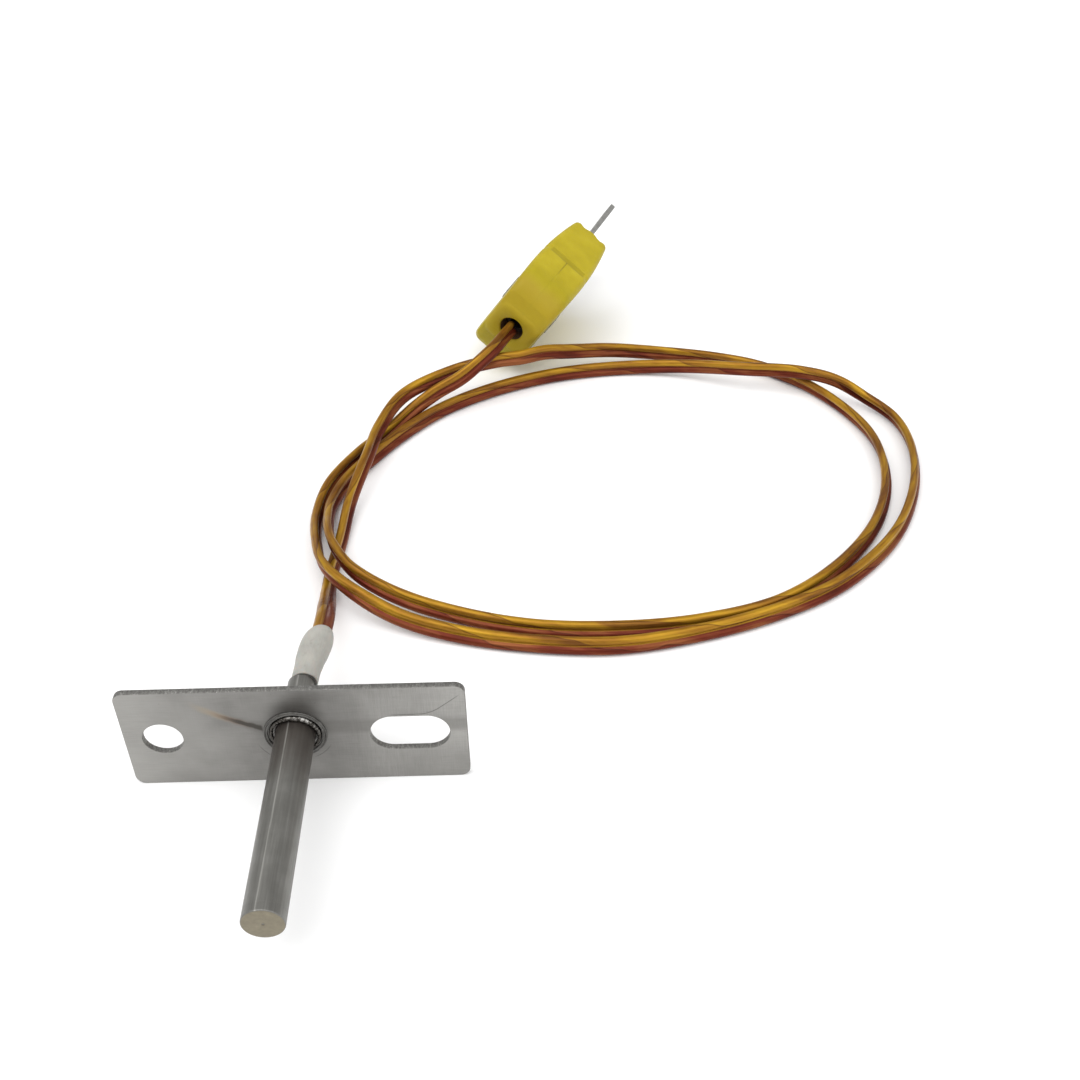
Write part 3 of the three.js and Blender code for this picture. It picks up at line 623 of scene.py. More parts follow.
def sheath_finish(name, tint=True):
    """Drawn tube: fine lengthwise streaks, a few dark ones, browned where it meets the weld."""
    finish = Finish(name, metallic=0.72)
    streak = finish.noise(1.0, 3.0, stretch=(3.2, 0.1, 3.2), rough=0.6)
    hair = finish.noise(1.0, 3.0, stretch=(11.0, 0.22, 11.0), rough=0.7)
    patch = finish.noise(0.5, 3.0)
    tone = streak * 0.4 + hair * 0.3 + patch * 0.3
    dark, middle, bright = (0.125, 0.122, 0.112), (0.17, 0.167, 0.154), (0.24, 0.236, 0.22)
    base = finish.ramp(tone, (0.3, dark), (0.5, middle), (0.7, bright))
    if tint:
        back = finish.y - FRONT_Y
        heat = (back + finish.noise(0.7, 2.0, stretch=(1.0, 0.3, 1.0)) * 5.0).ease(-6.5, 1.2)
        base = finish.blend(heat * 0.72, base, (0.085, 0.07, 0.06))
        weld_glow = back.ease(-1.6, -0.2) * 0.6
        base = finish.blend(weld_glow, base, (0.06, 0.048, 0.04))
    # a painted highlight: a light line along the upper side
    line = (finish.x + 0.33 + streak * 0.16).absolute().ease(0.13, 0.02)
    line = line * (finish.z - AXIS_Z).ease(0.4, 1.4)
    base = finish.blend(line * hair.ease(0.35, 0.6, 0.15, 0.45), base, (0.52, 0.51, 0.48))
    specks = finish.cells(0.9).ease(0.06, 0.02) * finish.noise(0.4, 1.0).ease(0.52, 0.6)
    finish.colour(finish.blend(specks * 0.7, base, (0.05, 0.045, 0.04)))
    finish.rough(hair.ease(0.3, 0.7, 0.36, 0.5))
    finish.bump(hair, 0.01)
    finish.bump(streak, 0.02)
    return finish


def tip_finish():
    """Ground tip disc with a straw tint and a centre mark."""
    finish = Finish("ground_tip", metallic=0.75)
    grain = finish.noise(2.2, 4.0)
    mottled = finish.noise(0.6, 3.0)
    tone = grain * 0.5 + mottled * 0.5
    dark, middle, bright = (0.16, 0.14, 0.1), (0.225, 0.2, 0.145), (0.29, 0.262, 0.195)
    base = finish.ramp(tone, (0.3, dark), (0.55, middle), (0.75, bright))
    from_axis = (finish.x.power(2.0) + (finish.z - AXIS_Z).power(2.0)).root()
    mark = (from_axis + grain * 0.12).ease(0.26, 0.1) * 0.75
    finish.colour(finish.blend(mark, base, (0.075, 0.066, 0.05)))
    finish.rough(tone.ease(0.3, 0.7, 0.42, 0.58))
    finish.bump(grain, 0.012)
    return finish


def plain_steel(name, low, high, roughness, grain=6.0, stretch=None, metallic=1.0):
    finish = Finish(name, metallic=metallic)
    fine = finish.noise(grain, 3.0, stretch=stretch, rough=0.6)
    broad = finish.noise(0.6, 2.0)
    tone = fine * 0.6 + broad * 0.4
    finish.colour(finish.ramp(tone, (0.3, low), (0.72, high)))
    finish.rough(fine.ease(0.3, 0.7, roughness - 0.07, roughness + 0.08))
    finish.bump(fine, 0.012)
    return finish


def plate_mesh():
    """The plate's outline with its bore, hole and slot, extruded with a small rolled edge."""
    curve = bpy.data.curves.new("mounting_plate_sheet", "CURVE")
    curve.dimensions = "2D"
    curve.fill_mode = "BOTH"
    bevel = 0.09
    curve.extrude = PLATE_T / 2 - bevel
    curve.bevel_depth = bevel
    curve.bevel_resolution = 2
    curve.offset = -bevel

    def closed(points):
        spline = curve.splines.new("POLY")
        spline.points.add(len(points) - 1)
        for point, (x, y) in zip(spline.points, points):
            point.co = (x, y, 0, 1)
        spline.use_cyclic_u = True

    def arc(cx, cy, radius, start, end, count):
        turn = (end - start) / count
        angles = [math.radians(start + turn * k) for k in range(count + 1)]
        return [(cx + radius * math.cos(a), cy + radius * math.sin(a)) for a in angles]

    right, top, r = PLATE_W / 2, PLATE_H, PLATE_CORNER
    outline = []
    for cx, cy, start in (
        (right - r, top - r, 0),
        (r - right, top - r, 90),
        (r - right, r, 180),
        (right - r, r, 270),
    ):
        outline += arc(cx, cy, r, start, start + 90, 10)
    closed(outline)
    closed(arc(0, AXIS_Z, PLATE_BORE_R, 0, 352.5, 47))
    closed(arc(HOLE_X, FIXING_Z, HOLE_R, 0, 354, 59))
    run = SLOT_LENGTH / 2 - SLOT_R
    closed(
        arc(SLOT_X + run, FIXING_Z, SLOT_R, -90, 90, 32) + arc(SLOT_X - run, FIXING_Z, SLOT_R, 90, 270, 32)
    )
    shown = bpy.data.objects.new("mounting_plate_sheet", curve)
    scene.collection.objects.link(shown)
    mesh = bpy.data.meshes.new_from_object(shown.evaluated_get(bpy.context.evaluated_depsgraph_get()))
    bpy.data.objects.remove(shown)
    middle = FRONT_Y + PLATE_T / 2
    mesh.transform(Matrix(((MM, 0, 0, 0), (0, 0, -MM, middle * MM), (0, MM, 0, 0), (0, 0, 0, 1))))
    made = bpy.data.objects.new("mounting_plate_sheet", mesh)
    scene.collection.objects.link(made)
    outward(made)
    mesh.polygons.foreach_set("use_smooth", [True] * len(mesh.polygons))
    sharp_by_angle(made, 25)
    return made


plate = plate_mesh()
stand_in(plate, "mounting_plate", "plate_steel", plate_finish(), sheared_finish())
FLAT_FACE = 0.93  # how far a normal points along the sheath on the two broad faces
for face in plate.data.polygons:
    face.material_index = 0 if abs(face.normal.y) > FLAT_FACE else 1

front = -SHEATH_LENGTH
sheath = turned(
    "sheath_drawn_tube",
    [
        (SHEATH_BORE, front + TIP_THICKNESS),
        (SHEATH_R - 0.005, front + TIP_THICKNESS),
        (SHEATH_R, front + TIP_THICKNESS + 0.01),
        (SHEATH_R, front + TIP_THICKNESS + 0.03),
        (SHEATH_R, -16.0),
        (SHEATH_R, -10.0),
        (SHEATH_R, -4.0),
        (SHEATH_R, -1.2),
        (SHEATH_R, SHEATH_BACK),
        (SHEATH_BORE, SHEATH_BACK),
    ],
    128,
)
sharp_by_angle(sheath)
drawn_steel = sheath_finish("drawn_sheath")
stand_in(sheath, "sheath_tube", "sheath_steel", drawn_steel)

tip = turned(
    "tip_disc",
    [
        (0.01, front + 0.09),
        (0.09, front + 0.05),
        (0.16, front + 0.005),
        (0.22, front),
        (1.2, front),
        (SHEATH_R - 0.14, front + 0.005),
        (SHEATH_R - 0.07, front + 0.02),
        (SHEATH_R - 0.02, front + 0.07),
        (SHEATH_R, front + 0.14),
        (SHEATH_R, front + 0.18),
        (SHEATH_R, front + TIP_THICKNESS - 0.03),
        (SHEATH_R, front + TIP_THICKNESS - 0.012),
        (SHEATH_R - 0.005, front + TIP_THICKNESS - 0.004),
        (1.57, front + TIP_THICKNESS),
        (1.55, front + 1.75),
        (0.01, front + 1.78),
    ],
    128,
)
sharp_by_angle(tip)
stand_in(tip, "tip_cap", "tip_steel", tip_finish(), drawn_steel)
for face in tip.data.polygons:
    face.material_index = 1 if face.center.y > (FRONT_Y + front + 0.03) * MM else 0

def ring_wobble(radius, y, angle):
    return 0.02 * noise.noise(Vector((3 * math.cos(angle), 3 * math.sin(angle), radius)))


# Two rolled ridges with a groove between them.
COLLAR_IN, COLLAR_OUT = 2.72, 3.17
collar = turned(
    "front_collar_ring",
    [
        (COLLAR_IN, 0.0),
        (COLLAR_IN, -0.1),
        (COLLAR_IN + 0.04, -0.17),
        (COLLAR_IN + 0.12, -0.2),
        (COLLAR_IN + 0.18, -0.15),
        (COLLAR_IN + 0.22, -0.06),
        (COLLAR_OUT - 0.17, -0.06),
        (COLLAR_OUT - 0.13, -0.15),
        (COLLAR_OUT - 0.07, -0.18),
        (COLLAR_OUT - 0.02, -0.12),
        (COLLAR_OUT, 0.0),
    ],
    112,
    wobble=ring_wobble,
)
rolled_ring = plain_steel("rolled_ring", (0.06, 0.057, 0.052), (0.2, 0.196, 0.185), 0.52, 3.0, metallic=0.8)
stand_in(collar, "front_collar", "plate_steel", rolled_ring)


BEAD_OUT, BEAD_REACH, BEAD_HEIGHT, RIPPLES, RIPPLE_HEIGHT = 2.66, 0.62, 0.34, 19, 0.09


def bead_mesh(strong_at):
    """Weld bead round the sheath: overlapping ripples, fuller on one side."""
    rounds, steps = 12, 420
    vertices = []
    for k in range(steps):
        angle = 2 * math.pi * k / steps
        near = math.cos(angle - strong_at)
        full = 0.62 + 0.38 * max(0.0, near)
        ripple = abs(math.sin(angle * RIPPLES)) ** 0.6 * RIPPLE_HEIGHT * (0.35 + 0.65 * max(0.0, near))
        rough = 0.05 * noise.noise(Vector((5 * math.cos(angle), 5 * math.sin(angle), 7.0)))
        for j in range(rounds):
            t = math.pi * j / (rounds - 1)
            reach = BEAD_REACH * full * (0.5 - 0.5 * math.cos(t))
            height = (BEAD_HEIGHT * full + ripple + rough) * math.sin(t) ** 0.8
            radius = BEAD_OUT - reach - (0.04 if j else 0)
            vertices.append((radius * math.cos(angle), FRONT_Y - height, AXIS_Z + radius * math.sin(angle)))
    faces = []
    for k in range(steps):
        for j in range(rounds - 1):
            a = k * rounds + j
            b = ((k + 1) % steps) * rounds + j
            faces.append((a, b, b + 1, a + 1))
    made = piece("front_weld_ripples", vertices, faces)
    outward(made)
    return made


weld = bead_mesh(strong_at=math.radians(62))
weld_finish = Finish("weld_metal", metallic=1.0)
around_weld = weld_finish.noise(2.4, 4.0)
# painted highlight on the ripples at the upper right; elsewhere the bead is dark
lit = (weld_finish.x * 0.6 + (weld_finish.z - AXIS_Z) * 0.8).ease(1.5, 2.4)
lit = lit * around_weld.ease(0.46, 0.6, 0.05, 0.6)
weld_dark = weld_finish.ramp(around_weld, (0.3, (0.03, 0.027, 0.023)), (0.7, (0.1, 0.093, 0.085)))
weld_bright = weld_finish.ramp(around_weld, (0.3, (0.2, 0.195, 0.185)), (0.7, (0.62, 0.61, 0.58)))
weld_finish.colour(weld_finish.blend(lit, weld_dark, weld_bright))
weld_finish.rough(around_weld.ease(0.3, 0.7, 0.16, 0.34))
weld_finish.bump(weld_finish.noise(7.0, 3.0), 0.03)
stand_in(weld, "front_weld_bead", "weld_steel", weld_finish)

# ---------- sleeve and rear tube ----------
TUBE_END = 10.4
SLEEVE_START, SLEEVE_END, SLEEVE_DRIFT = 7.25, 15.0, 1.0
SLEEVE_WALL = 1.3
STUB_END, STUB_R = 7.1, 1.36
TUBE_R, TUBE_BORE = 1.2, 0.98


def lean(y):
    """How far the sleeve stands to the right of the axis at y."""
    straight = SLEEVE_DRIFT * max(0.0, (y - TUBE_END) / (SLEEVE_END - TUBE_END))
    return straight + 0.2 * math.exp(-(((y - 10.6) / 1.9) ** 2))


def stub_lean(y):
    """The stub sits a little to the left."""
    return -0.3 * min(1.0, max(0.0, (y - 2.0) / 2.5)) if y < STUB_END + 0.01 else 0.0


rear_tube = turned(
    "rear_tube_drawn",
    [
        (TUBE_BORE, -0.6),
        (TUBE_R, -0.6),
        (TUBE_R, 2.0),
        (STUB_R, 2.4),
        (STUB_R, 3.5),
        (STUB_R, 5.0),
        (STUB_R, STUB_END - 0.14),
        (STUB_R - 0.02, STUB_END - 0.05),
        (STUB_R - 0.09, STUB_END),
        (TUBE_R, STUB_END + 0.02),
        (TUBE_R, TUBE_END),
        (TUBE_BORE, TUBE_END),
    ],
    96,
    shift=stub_lean,
)
sharp_by_angle(rear_tube)
stand_in(rear_tube, "rear_tube", "sheath_steel", sheath_finish("rear_tube_steel", tint=False))


def sleeve_wobble(radius, y, angle):
    at = Vector((math.cos(angle) * 1.3, y * 0.55, math.sin(angle) * 1.3))
    return 0.05 * noise.noise(at) * (1 if radius > SLEEVE_WALL else 0)


sleeve_profile = [
    (1.24, SLEEVE_START),
    (1.34, SLEEVE_START),
    (1.42, SLEEVE_START + 0.08),
    (1.43, 7.8),
    (1.43, 8.4),
    (1.43, 9.1),
    (1.48, 9.8),
    (1.54, 10.5),
    (1.6, 11.1),
    (1.64, 11.6),
    (1.68, 12.2),
    (1.69, 12.8),
    (1.66, 13.3),
    (1.61, 13.7),
    (1.52, 14.1),
    (1.42, 14.4),
    (1.3, 14.68),
    (1.18, 14.86),
    (1.06, 14.97),
    (0.99, SLEEVE_END),
    (0.97, 14.9),
    (0.97, 14.2),
    (SLEEVE_WALL, 13.5),
    (SLEEVE_WALL, TUBE_END + 0.3),
    (1.24, TUBE_END),
]
sleeve = turned("shrink_sleeve_skin", sleeve_profile, 96, shift=lean, wobble=sleeve_wobble)
sleeve_finish = Finish("shrunk_sleeve", roughness=0.5)
sleeve_finish.shader.inputs["Subsurface Weight"].default_value = 0.15
sleeve_finish.shader.inputs["Subsurface Scale"].default_value = 0.0008
cloud = sleeve_finish.noise(0.5, 4.0)
scuff = sleeve_finish.noise(1.0, 4.0, stretch=(5.0, 0.9, 5.0), rough=0.7)
dirt = sleeve_finish.noise(1.3, 5.0).ease(0.56, 0.72)
sleeve_tone = cloud * 0.6 + scuff * 0.4
sleeve_base = sleeve_finish.ramp(sleeve_tone, (0.3, (0.29, 0.283, 0.258)), (0.6, (0.385, 0.375, 0.34)))
sleeve_finish.colour(sleeve_finish.blend(dirt * 0.35, sleeve_base, (0.17, 0.165, 0.15)))
sleeve_finish.rough(scuff.ease(0.3, 0.7, 0.42, 0.6))
sleeve_finish.bump(scuff, 0.03)
sleeve_finish.bump(cloud, 0.08)
stand_in(sleeve, "shrink_sleeve", "white_sleeve", sleeve_finish)

# ---------- plug ----------
plug_place = Matrix.Translation(PLUG_AT) @ (
    Matrix.Rotation(-PLUG_YAW, 4, "Z")
    @ Matrix.Rotation(PLUG_PITCH, 4, "X")
    @ Matrix.Rotation(PLUG_ROLL - math.pi / 2, 4, "Y")
)


def plug_half_width(y):
    if y >= PLUG_SHOULDER:
        return PLUG_HALF_W
    rest = 1 - y / PLUG_SHOULDER
    return PLUG_NOSE + (PLUG_HALF_W - PLUG_NOSE) * math.sqrt(max(0.0, 1 - rest * rest))


def plug_half_thickness(y):
    """Half the body's thickness: a parabola through its values at the lead end, middle and blade end."""
    f = y / PLUG_LENGTH
    at_lead, middle, at_blades = PLUG_HALF_T
    return at_lead * (1 - f) * (1 - 2 * f) + 4 * middle * f * (1 - f) + at_blades * f * (2 * f - 1)


def rounded_outline(half_w, half_t, radius, seam):
    """Points round the body's section; seam is how deep the parting line is cut at z = 0."""
    radius = min(radius, half_w - 0.3, half_t - 0.3)
    quarter = []
    lip = 0.1
    quarter.append((half_w - seam, 0.0))
    quarter.append((half_w - seam * 0.95, lip * 0.45))
    quarter.append((half_w - seam * 0.15, lip * 0.8))
    quarter.append((half_w, lip * 1.6))
    for k in range(4):
        quarter.append((half_w, lip * 1.6 + (half_t - radius - lip * 1.6) * (k + 1) / 4.0))
    for k in range(1, 9):
        angle = math.pi / 2 * k / 8
        quarter.append(
            (half_w - radius + radius * math.cos(angle), half_t - radius + radius * math.sin(angle))
        )
    for k in range(1, 8):
        quarter.append(((half_w - radius) * (1 - k / 7.0), half_t))
    upper = quarter + [(-x, z) for x, z in reversed(quarter[:-1])]
    return upper + [(x, -z) for x, z in reversed(upper[1:-1])]


def plug_rings():
    """Sections of the body from the lead hole's inside, over the nose, to the blade face."""
    count = len(rounded_outline(5, 4, 1, 0))
    rings = []

    def hole_ring(radius, y):
        base = rounded_outline(3.5, 3.65, 1.4, 0)
        ring = []
        for x, z in base:
            angle = math.atan2(z, x)
            ring.append((radius * math.cos(angle), y, radius * math.sin(angle)))
        rings.append(ring)

    hole_ring(LEAD_HOLE, 3.4)
    hole_ring(LEAD_HOLE, 0.32)
    hole_ring(LEAD_HOLE + 0.05, 0.12)
    hole_ring(LEAD_HOLE + 0.16, 0.02)

    def section(y, inset=0.0, corner=1.05, seam=0.0, at=None):
        half_w = plug_half_width(y) - inset
        half_t = plug_half_thickness(y) - inset
        outline = rounded_outline(half_w, half_t, corner, seam)
        rings.append([(x, y if at is None else at(x, z), z) for x, z in outline])

    section(0.0, inset=0.75, corner=1.3, at=lambda x, z: 0.0)
    section(0.0, inset=0.5, corner=1.3, at=lambda x, z: 0.03)
    section(0.0, inset=0.2, corner=1.3, seam=0.015, at=lambda x, z: 0.16)
    section(0.0, inset=0.02, corner=1.3, seam=0.015, at=lambda x, z: 0.42)
    straight_from = PLUG_SHOULDER + 0.4
    for k in range(1, 25):
        section(0.42 + (straight_from - 0.42) * (k / 24) ** 1.5, corner=1.2, seam=0.015)
    groove_start = BLOCK_START - GROOVE
    for k in range(1, 11):
        section(straight_from + (groove_start - 0.12 - straight_from) * k / 10, corner=1.1, seam=0.015)
    section(groove_start - 0.03, inset=0.01, corner=1.1, seam=0.02)
    section(groove_start + 0.02, inset=GROOVE_DEPTH * 0.25, corner=1.0)
    section(groove_start + 0.12, inset=GROOVE_DEPTH * 0.35, corner=1.0)
    section(BLOCK_START - 0.12, inset=GROOVE_DEPTH * 0.35, corner=1.0)
    section(BLOCK_START - 0.02, inset=GROOVE_DEPTH * 0.25, corner=1.0)
    section(BLOCK_START + 0.04, inset=0.01, corner=1.05)
    section(BLOCK_START + 0.14, corner=1.05)

    def end_y(z):
        """Where the blade end's face stands: hollowed beside the blades, proud between them."""
        dip = HOLLOW * math.exp(-(((abs(z) - HOLLOW_AT) / 0.7) ** 2))
        return PLUG_LENGTH - BLADE_END_BACK - dip + 0.08 * math.exp(-((z / 0.6) ** 2))

    rounding = 0.75
    for k in range(1, 9):

        def straight(x, z, share=k / 8):
            start = BLOCK_START + 0.14
            return start + (end_y(z) - rounding - start) * share

        section(BLOCK_START + (PLUG_LENGTH - rounding - BLOCK_START) * k / 8, corner=1.0, at=straight)
    for k in range(1, 7):
        angle = math.pi / 2 * k / 6

        def rounded(x, z, forward=rounding * math.sin(angle)):
            return end_y(z) - rounding + forward

        section(PLUG_LENGTH - rounding, inset=rounding * (1 - math.cos(angle)), corner=1.0, at=rounded)
    inner = rounded_outline(PLUG_HALF_W - rounding, plug_half_thickness(PLUG_LENGTH) - rounding, 1.0, 0)
    for shrink in (0.85, 0.7, 0.55, 0.4, 0.25, 0.1, 0.0):
        rings.append([(x * shrink, end_y(z * shrink), z * shrink) for x, z in inner])
    return rings, count


def plug_halves():
    rings, count = plug_rings()
    points = [Vector(p) for ring in rings for p in ring]
    vertices = [plug_place @ p for p in points]
    faces = ring_faces(len(rings), count)
    groups = {"plug_cap_shell": [], "plug_base_shell": []}
    groove_start = BLOCK_START - GROOVE
    for face in faces:
        middle = sum((points[v] for v in face), Vector()) / len(face)
        on_cap = middle.z > 0 and middle.y < groove_start - 0.02
        groups["plug_cap_shell" if on_cap else "plug_base_shell"].append(face)
    made = {}
    for name, own in groups.items():
        # the bore of the lead's hole takes a dark finish: painted shade inside the hole
        marks = []
        for face in own:
            from_axis = sum(points[v].xz.length for v in face) / len(face)
            marks.append(int(from_axis < LEAD_HOLE + 0.02 and points[face[0]].y < PLUG_SHOULDER))
        used = sorted({v for face in own for v in face})
        index = {v: k for k, v in enumerate(used)}
        uvs = [(points[v].x / 10, points[v].y / 10) for v in used]
        own = [tuple(index[v] for v in face) for face in own]
        made[name] = piece(name, [vertices[v] for v in used], own, uvs, marks)
    return made


halves = plug_halves()


def yellow_finish():
    """Moulded nylon: fine spark-eroded grain, slightly cloudy, with painted shade towards the lead's end.
    """
    finish = Finish("moulded_nylon", roughness=0.5)
    finish.shader.inputs["Specular IOR Level"].default_value = 0.2
    finish.shader.inputs["Subsurface Weight"].default_value = 0.22
    finish.shader.inputs["Subsurface Scale"].default_value = 0.0012
    finish.shader.inputs["Subsurface Radius"].default_value = (1.0, 0.8, 0.25)
    # the place in the plug's own axes
    rows = list(plug_place.inverted())[:3]
    wide, along, through = (finish.x * a + finish.y * b + finish.z * c + d for a, b, c, d in rows)
    grain = finish.noise(5.5, 3.0, rough=0.6)
    cloud = finish.noise(0.28, 3.0)
    dark, middle, bright = (0.36, 0.285, 0.008), (0.42, 0.335, 0.012), (0.47, 0.385, 0.02)
    base = finish.ramp(cloud * 0.75 + grain * 0.25, (0.3, dark), (0.55, middle), (0.75, bright))
    # painted shade towards the lead's end, where the nose curves down
    nose = (along + cloud * 3.0).ease(9.0, 5.2)
    base = finish.blend(nose * 0.7, base, (0.33, 0.265, 0.006))
    stain = (along + cloud * 2.0 + (wide * -0.25)).ease(3.2, 0.9)
    base = finish.blend(stain * 0.35, base, (0.34, 0.2, 0.02))
    # painted shade in the groove across the plug's faces
    groove = (along - (BLOCK_START - GROOVE / 2)).absolute().ease(0.72, 0.42)
    groove = groove * through.absolute().ease(3.3, 2.9)
    base = finish.blend(groove * 0.6, base, (0.27, 0.215, 0.008))
    parting = through.absolute().ease(0.16, 0.03) * along.ease(6.0, 9.0) * along.ease(10.75, 10.4)
    base = finish.blend(parting * 0.55, base, (0.2, 0.155, 0.01))
    pores = finish.cells(1.4).ease(0.07, 0.03) * finish.noise(0.5, 2.0).ease(0.55, 0.65)
    finish.colour(finish.blend(pores * 0.35, base, (0.25, 0.2, 0.02)))
    finish.rough(grain.ease(0.3, 0.7, 0.42, 0.56))
    finish.bump(grain, 0.02)
    finish.bump(cloud, 0.1)
    return finish


nylon = yellow_finish()
# painted shade for the inside of the lead's hole
bore_painted_shade = grainy("bore_painted_shade", 0.8, (0.035, 0.014, 0.006), (0.1, 0.045, 0.012), 2.0, 3.0, 0.03)
for name, node in (("plug_cap_shell", "plug_cap"), ("plug_base_shell", "plug_base")):
    stand_in(halves[name], node, "yellow_plastic", nylon, bore_painted_shade)


def blade_mesh(pole):
    """A stamped blade: rounded nose, broken edges."""
    half = BLADE_WIDTHS[pole] / 2
    x0 = BLADE_PITCH / 2 if pole == "positive" else -BLADE_PITCH / 2
    start, nose, edge = BLADE_FROM, 0.9, 0.1
    sections = []
    stations = [start, 16.0, 20.0, 24.0, 28.0, 32.0, BLADE_TIP - nose]
    stations += [BLADE_TIP - nose * (1 - math.sin(math.pi / 2 * k / 8)) for k in range(1, 9)]
    for y in stations:
        into = max(0.0, (y - (BLADE_TIP - nose)) / nose)
        w = max(0.02, half * math.sqrt(max(0.0, 1 - into * into)))
        # thinner at the root, leaning across the plug's thickness towards the tip
        out = max(0.0, min(1.0, (y - PLUG_LENGTH) / 8.0))
        share = BLADE_ROOT_SHARE + (1 - BLADE_ROOT_SHARE) * out
        t = BLADE_T / 2 * share * math.sqrt(max(0.02, 1 - (into * 0.93) ** 3))
        e = min(edge, w * 0.6)
        ring = [
            (w, t - e), (w - e * 0.3, t - e * 0.3), (w - e, t),
            (-w + e, t), (-w + e * 0.3, t - e * 0.3), (-w, t - e),
            (-w, -t + e), (-w + e * 0.3, -t + e * 0.3), (-w + e, -t),
            (w - e, -t), (w - e * 0.3, -t + e * 0.3), (w, -t + e),
        ]
        aside = BLADE_LEAN * max(0.0, (y - PLUG_LENGTH + 1.0) / (BLADE_TIP - PLUG_LENGTH))
        sections += [plug_place @ Vector((x0 + x, y, z + aside)) for x, z in ring]
    made = piece(f"blade_{pole}_stamped", sections, ring_faces(len(stations), 12, close_ends=True))
    outward(made)
    sharp_by_angle(made, 40)
    return made


blade_finish = plain_steel(
    "blade_metal", (0.27, 0.266, 0.25), (0.42, 0.415, 0.395), 0.5, grain=2.4, metallic=0.85
)
blades = []
for pole in BLADE_WIDTHS:
    blades.append(blade_mesh(pole))
    stand_in(blades[-1], f"blade_{pole}", "blade_alloy", blade_finish)


def prism(outline, low, high, chamfer=0.08):
    """Points and faces of an outline in the plug's wide plane, raised from low to high."""
    cx = sum(x for x, _ in outline) / len(outline)
    cy = sum(y for _, y in outline) / len(outline)
    keep = 1 - chamfer / max(math.hypot(x - cx, y - cy) for x, y in outline)
    inner = [(cx + (x - cx) * keep, cy + (y - cy) * keep) for x, y in outline]
    side = math.copysign(chamfer, high - low)
    levels = ((outline, low), (outline, high - side), (inner, high))
    points = [(x, COVER_Y + y, z) for loop, z in levels for x, y in loop]
    return points, ring_faces(3, len(outline), close_ends=True)


def cover_mesh(name, blocks):
    points, faces = [], []
    for own_points, own_faces in blocks:
        faces += [tuple(v + len(points) for v in face) for face in own_faces]
        points += [plug_place @ Vector(point) for point in own_points]
    made = piece(name, points, faces, smooth=False)
    outward(made)
    return made


def circle(radius, count, start=0.0, sweep=2 * math.pi):
    turns = [start + sweep * k / count for k in range(count)]
    return [(radius * math.cos(a), radius * math.sin(a)) for a in turns]


COVER_Y, COVER_SEAT = 7.6, 3.2
COVER_FACE = plug_half_thickness(COVER_Y)
HEAD_R, NUT_R, STUD_R, SLOT_HALF = 1.95, 2.05, 0.95, 0.28
half_turn = math.acos(SLOT_HALF / HEAD_R)
right_half = circle(HEAD_R, 25, -half_turn, 2 * half_turn * 25 / 24)
cover_screw = cover_mesh(
    "cover_screw_slotted",
    [
        prism(circle(HEAD_R, 48), COVER_SEAT, COVER_FACE + 0.04, 0.01),
        *(
            prism([(x * side, y) for x, y in right_half], COVER_FACE + 0.02, COVER_FACE + 0.1, 0.03)
            for side in (1, -1)
        ),
    ],
)
cover_nut = cover_mesh(
    "cover_nut_hexagon",
    [
        prism(circle(NUT_R, 6), -COVER_SEAT, -COVER_FACE - 0.07, 0.05),
        prism(circle(STUD_R, 32), -COVER_SEAT, -COVER_FACE - 0.12, 0.03),
    ],
)

# ---------- finishes of the CAD pieces that stay ----------
ceramic = grainy("fired_ceramic", 0.8, (0.6, 0.58, 0.52), (0.74, 0.72, 0.66), 3.0, 4.0, 0.02)
cement = grainy("potting_cement", 0.9, (0.42, 0.38, 0.3), (0.6, 0.56, 0.46), 6.0, 5.0, 0.05)
rubber = grainy("grommet_rubber", 0.75, (0.012, 0.008, 0.006), (0.03, 0.02, 0.014), 5.0, 3.0, 0.02)
by_slot = {
    "plate_steel": plain_steel("spare_plate_steel", (0.2, 0.2, 0.19), (0.36, 0.355, 0.34), 0.4),
    "sheath_steel": plain_steel("spare_sheath_steel", (0.2, 0.2, 0.19), (0.36, 0.355, 0.34), 0.35),
    "tip_steel": plain_steel("spare_tip_steel", (0.22, 0.21, 0.18), (0.36, 0.34, 0.3), 0.45),
    "weld_steel": plain_steel("rear_weld_metal", (0.08, 0.075, 0.07), (0.4, 0.39, 0.37), 0.3, 3.0),
    "bush_steel": plain_steel(
        "turned_bush", (0.18, 0.178, 0.17), (0.34, 0.335, 0.32), 0.4, grain=2.0, stretch=(6.0, 0.3, 6.0)
    ),
    "ceramic": ceramic,
    "potting": cement,
    "thermo_alloy": plain_steel("thermo_alloy", (0.3, 0.28, 0.25), (0.46, 0.44, 0.4), 0.35, 4.0),
    "ferrule_metal": plain_steel("crimped_ferrule", (0.3, 0.3, 0.3), (0.5, 0.5, 0.49), 0.32, 5.0),
    "amber_film": amber,
    "red_film": red,
    "white_sleeve": sleeve_finish,
    "yellow_plastic": nylon,
    "blade_alloy": blade_finish,
    "screw_steel": plain_steel("zinc_screw", (0.2, 0.2, 0.195), (0.36, 0.36, 0.35), 0.42, 5.0),
    "grommet_rubber": rubber,
}
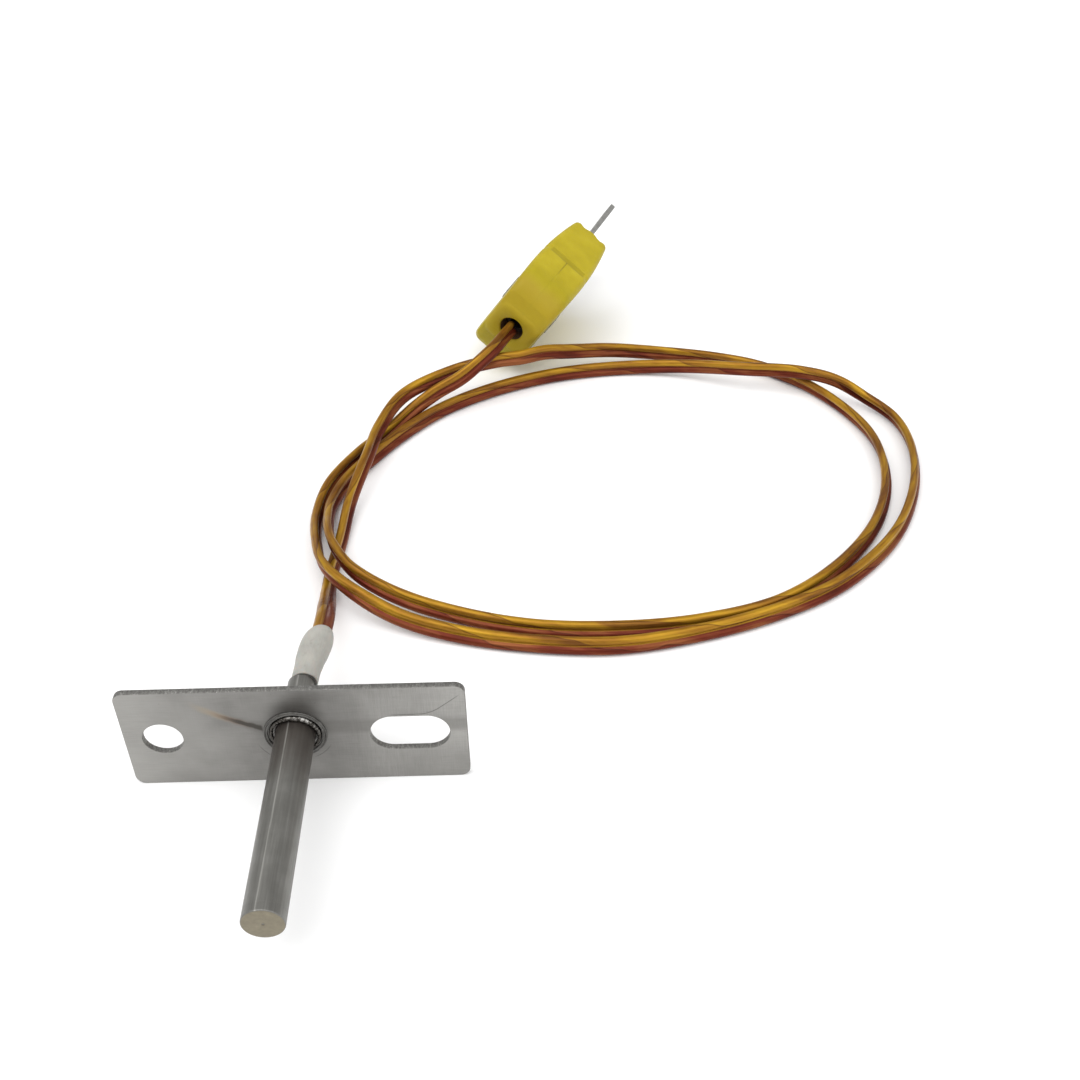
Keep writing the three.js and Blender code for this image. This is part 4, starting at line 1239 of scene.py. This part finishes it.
for shown, node in ((cover_screw, "cover_screw"), (cover_nut, "cover_nut")):
    stand_in(shown, node, "screw_steel", by_slot["screw_steel"])
for part in frame["record"]["subparts"]:
    node = frame["nodes"].get(part["node"])
    if node is not None:
        coat(node, by_slot[part["material_slot"]])

on_lead = [halves["plug_cap_shell"], halves["plug_base_shell"], *blades, cover_screw, cover_nut]
on_lead += [
    frame["nodes"][name]
    for name in (
        "terminal_screw_positive",
        "terminal_screw_negative",
        "lead_tail_positive",
        "lead_tail_negative",
        "cover_screw",
        "cover_nut",
        "cord_grommet",
    )
]
[p * MM for p in lead_line]

# ---------- floor and light ----------
floor_mesh = bpy.data.meshes.new("floor")
reach = 1.2
corners = [(-reach, -reach, 0), (reach, -reach, 0), (reach, reach, 0), (-reach, reach, 0)]
floor_mesh.from_pydata(corners, [], [(0, 1, 2, 3)])
floor = bpy.data.objects.new("floor", floor_mesh)
scene.collection.objects.link(floor)
paper = Finish("pale_floor", roughness=0.9)
paper_tone = paper.noise(0.05, 2.0)
paper.colour(paper.ramp(paper_tone, (0.3, (0.955, 0.955, 0.955)), (0.7, (0.97, 0.97, 0.97))))
coat(floor, paper)

world = bpy.data.worlds.new("studio")
scene.world = world
world.use_nodes = True
world.node_tree.nodes["Background"].inputs[0].default_value = (1.0, 1.0, 1.0, 1.0)
world.node_tree.nodes["Background"].inputs[1].default_value = 0.62


def softbox(name, location, target, width, height, power):
    data = bpy.data.lights.new(name, "AREA")
    data.shape = "RECTANGLE"
    data.size, data.size_y, data.energy = width, height, power
    lamp = bpy.data.objects.new(name, data)
    lamp.location = location
    aim = Vector(target) - Vector(location)
    lamp.rotation_euler = aim.to_track_quat("-Z", "Y").to_euler()
    scene.collection.objects.link(lamp)


softbox("key_light", (-0.25, -0.1, 0.6), (0.03, 0.04, 0.0), 0.7, 0.7, 3.4)
softbox("fill_light", (0.35, -0.25, 0.5), (0.03, 0.04, 0.0), 0.7, 0.7, 2.2)
scene.view_settings.view_transform = "Standard"
